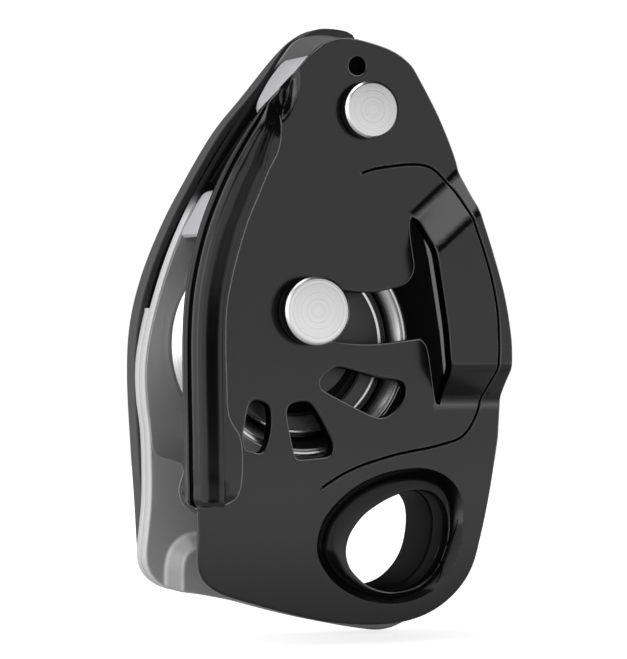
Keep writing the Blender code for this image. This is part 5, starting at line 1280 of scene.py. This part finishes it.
arm_slot = bent_slot(CAM_AXIS, ARM_SLOT, ARM_SLOT_ENDS, 30)
sheet_piece("arm_plate", "release_arm", "arm", DARK_STEEL,
            [arm_outline(), circle(CAM_AXIS, AXLE_BORE, 48), arm_slot], level(ARM_FRONT), level(ARM_BACK),
            0.2)
head = high("lever_hinge_rivet").y
turned_piece("hinge_rivet", "lever_hinge_rivet", "arm", PIN_STEEL, LEVER_AXIS,
             [(0, 12.4), (4.6, 12.4), (4.6, 13.25), (3.0, 13.25), (3.0, head - 1.2), (5.2, head - 1.2),
              (5.2, head - 0.5), (4.5, head), (2.0, head), (1.7, head - 0.3), (0, head - 0.3)], 0.12)
turned_piece("stop_pin", "lever_stop_pin", "arm", PIN_STEEL, middle("lever_stop_pin"),
             [(0, 12.5), (1.2, 12.5), (1.2, 17.65), (0, 17.65)], 0.2, steps=32)
turned_piece("hinge_bush", "lever_bush", "lever", PIN_STEEL, LEVER_AXIS,
             [(3.1, LEVER_FRONT), (4.1, LEVER_FRONT), (4.1, LEVER_FRONT + BUSH_LENGTH),
              (3.1, LEVER_FRONT + BUSH_LENGTH)], 0.1, closed=True)

LEVER_RIM = 4.4
CROWN_RUN = 3.4
LEVER_WALL = 1.3
POCKET_DEPTH = 3.8


def lever_back(x, z):
    loop = smooth(LEVER_EDGE, 1.2)
    gap = np.where(within(loop, x, z), gap_to(loop, x, z, closed=True)[0], 0.0)
    crown = np.sin(math.pi / 2 * np.minimum(1.0, gap / CROWN_RUN))
    return LEVER_FRONT + LEVER_RIM + (LEVER_THICK - LEVER_RIM) * crown


def lever_pocket():
    inside = [p for p in offset_path(smooth(LEVER_EDGE, 1.0), -LEVER_WALL) if 26.0 < p[1]]
    return [p for i, p in enumerate(inside) if math.dist(p, inside[i - 1]) > 0.3]


def lever_front(x, z):
    return np.where(within(lever_floor, x, z) | (gap_to(lever_floor, x, z, closed=True)[0] < 0.02),
                    LEVER_FRONT + POCKET_DEPTH, LEVER_FRONT)


def build_lever():
    bm = bmesh.new()
    fill_regions(bm, [[smooth(LEVER_EDGE, 1.0), pocket, circle(LEVER_AXIS, 4.15, 48)], [pocket, lever_floor],
                      [lever_floor]])
    inner = round_rims(bm, 0.35)
    cut_grid(bm, inner, 0.9)
    thicken(bm, lever_front, lever_back, 0.35)
    return finish_piece(bm, "lever_handle", "lever", BLACK_NYLON, ["handle_lever"])


pocket = lever_pocket()
lever_floor = offset_path(pocket, -0.25)
build_lever()

# Solids that are shown as they are, with their own finish; the rope channel liner is a near-black sheet
# standing in for the shade between the plates
for node_name, material in (("rope_channel_liner", SHADE_BLACK_NYLON), ("bearing_cage", DARK_STEEL)):
    solid = NODES[node_name]
    solid.data.materials.clear()
    solid.data.materials.append(material)


# Studio

TARGET = (-18.40, -12.0, 38.68)
VIEW_AZIMUTH = 22.0
DISTANCE = 560.0
LENS = 171.3
FLOOR_Z = solid_low.z / MM - 0.4

camera = add_object("camera", bpy.data.cameras.new("camera"))
turn = math.radians(VIEW_AZIMUTH)
camera.location = Vector((TARGET[0] - DISTANCE * math.sin(turn), TARGET[1] - DISTANCE * math.cos(turn),
                          TARGET[2])) * MM
camera.rotation_euler = (math.pi / 2, 0.0, -turn)
camera.data.lens = LENS
camera.data.sensor_width = 36.0
camera.data.clip_start = 0.01
camera.data.clip_end = 20.0
bpy.context.scene.camera = camera
bpy.context.scene.view_settings.view_transform = "Standard"

WORLD_LIGHT = 0.45
STUDIO_BASE = 0.02
# Each panel's bearings from the front, heights and softness of edge, all in degrees, and its light
STUDIO_PANELS = (
    ((-4.0, 40.0), (-15.0, 15.0), 6.0, 1.0),
    ((-80.0, -4.0), (-15.0, 15.0), 6.0, 0.12),
    ((-135.0, -78.0), (-25.0, 45.0), 10.0, 2.0),
    ((-60.0, 50.0), (-50.0, -14.0), 7.0, 1.3),
    ((-160.0, 0.0), (54.0, 100.0), 8.0, 1.3),
    ((-200.0, -140.0), (-30.0, 50.0), 8.0, 0.35))


def between(tree, value, start, stop, soft):
    """One between two angles in degrees, and softly zero outside them."""
    start, stop, edge = (math.radians(angle) for angle in (start, stop, soft))
    opening = rise(tree, value, start - edge, start + edge, 0.0, 1.0)
    return maths(tree, "MULTIPLY", opening, rise(tree, value, stop - edge, stop + edge, 1.0, 0.0))


def rays(tree, place):
    """The kinds of ray, the ones that a mirror or glass sends on, and the place's bearing and height."""
    kinds = tree.nodes.new("ShaderNodeLightPath").outputs
    mirrored = maths(tree, "MAXIMUM", kinds["Is Glossy Ray"], kinds["Is Transmission Ray"])
    parts = tree.nodes.new("ShaderNodeSeparateXYZ")
    tree.links.new(place, parts.inputs[0])
    bearing = maths(tree, "ARCTAN2", parts.outputs["X"], maths(tree, "MULTIPLY", parts.outputs["Y"], -1.0))
    return kinds, mirrored, bearing, parts.outputs["Z"]


def build_world():
    """White for the camera, an even light for matt surfaces, and soft panels for shiny ones to mirror."""
    world = bpy.data.worlds.new("studio")
    world.use_nodes = True
    bpy.context.scene.world = world
    tree = world.node_tree
    background = tree.nodes["Background"]
    background.inputs["Color"].default_value = (1.0, 1.0, 1.0, 1.0)
    heading = tree.nodes.new("ShaderNodeTexCoord").outputs["Generated"]
    kinds, mirrored, bearing, level_z = rays(tree, heading)
    height = maths(tree, "ARCSINE", level_z)
    studio = STUDIO_BASE
    for across, up, soft, amount in STUDIO_PANELS:
        strip = between(tree, bearing, *across, soft)
        light = maths(tree, "MULTIPLY", strip, between(tree, height, *up, soft))
        studio = maths(tree, "ADD", maths(tree, "MULTIPLY", light, amount), studio)
    plain = maths(tree, "MAXIMUM", kinds["Is Camera Ray"], maths(tree, "MULTIPLY", mirrored, studio))
    diffuse = maths(tree, "MULTIPLY", kinds["Is Diffuse Ray"], WORLD_LIGHT)
    tree.links.new(maths(tree, "MAXIMUM", plain, diffuse), background.inputs["Strength"])


build_world()


def soft_light(name, place, target, width, height, power):
    lamp = bpy.data.lights.new(name, "AREA")
    lamp.shape = "RECTANGLE"
    lamp.size = width
    lamp.size_y = height
    lamp.energy = power
    light = add_object(name, lamp)
    light.location = place
    light.rotation_euler = (Vector(target) - Vector(place)).to_track_quat("-Z", "Y").to_euler()


AIM = (-0.012, 0.0, 0.04)
soft_light("left_softbox", (-0.7, -0.35, 0.22), AIM, 0.9, 0.8, 3.2)
soft_light("top_softbox", (-0.3, 0.1, 0.8), AIM, 0.7, 0.6, 1.6)
soft_light("front_softbox", (-0.38, -0.82, 0.1), AIM, 0.7, 0.5, 1.25)

FLOOR_HALF = 0.7
CAMERA_GLOW = (0.02, 0.3, 0.78, 1.0)
MIRROR_GLOW = (0.05, 0.4, 0.15, 1.0)
MIRROR_BEARINGS = (-150.0, 48.0, 8.0)


def pale_material():
    """Pale floor that fades into the white round it, and is dim beside the part in a mirror."""
    material = bpy.data.materials.new("pale floor")
    material.use_nodes = True
    tree = material.node_tree
    shader = tree.nodes["Principled BSDF"]
    shader.inputs["Base Color"].default_value = (0.6, 0.6, 0.6, 1.0)
    shader.inputs["Roughness"].default_value = 0.8
    shader.inputs["Specular IOR Level"].default_value = 0.1
    shader.inputs["Emission Color"].default_value = (1.0, 1.0, 1.0, 1.0)
    place = tree.nodes.new("ShaderNodeTexCoord").outputs["Object"]
    far = node(tree, "ShaderNodeVectorMath", [(0, place)], operation="LENGTH").outputs["Value"]
    kinds, mirrored, bearing = rays(tree, place)[:3]
    direct = maths(tree, "MULTIPLY", kinds["Is Camera Ray"], rise(tree, far, *CAMERA_GLOW))
    bounced = maths(tree, "MULTIPLY", mirrored, rise(tree, far, *MIRROR_GLOW))
    bounced = maths(tree, "MULTIPLY", bounced, between(tree, bearing, *MIRROR_BEARINGS))
    tree.links.new(maths(tree, "ADD", direct, bounced), shader.inputs["Emission Strength"])
    return material


floor_mesh = bpy.data.meshes.new("floor")
bm = bmesh.new()
bmesh.ops.create_grid(bm, x_segments=1, y_segments=1, size=FLOOR_HALF)
bmesh.ops.translate(bm, verts=bm.verts[:], vec=(0.0, 0.0, FLOOR_Z * MM))
bm.to_mesh(floor_mesh)
bm.free()
floor = add_object("floor", floor_mesh)
floor_mesh.materials.append(pale_material())

bpy.context.view_layer.update()
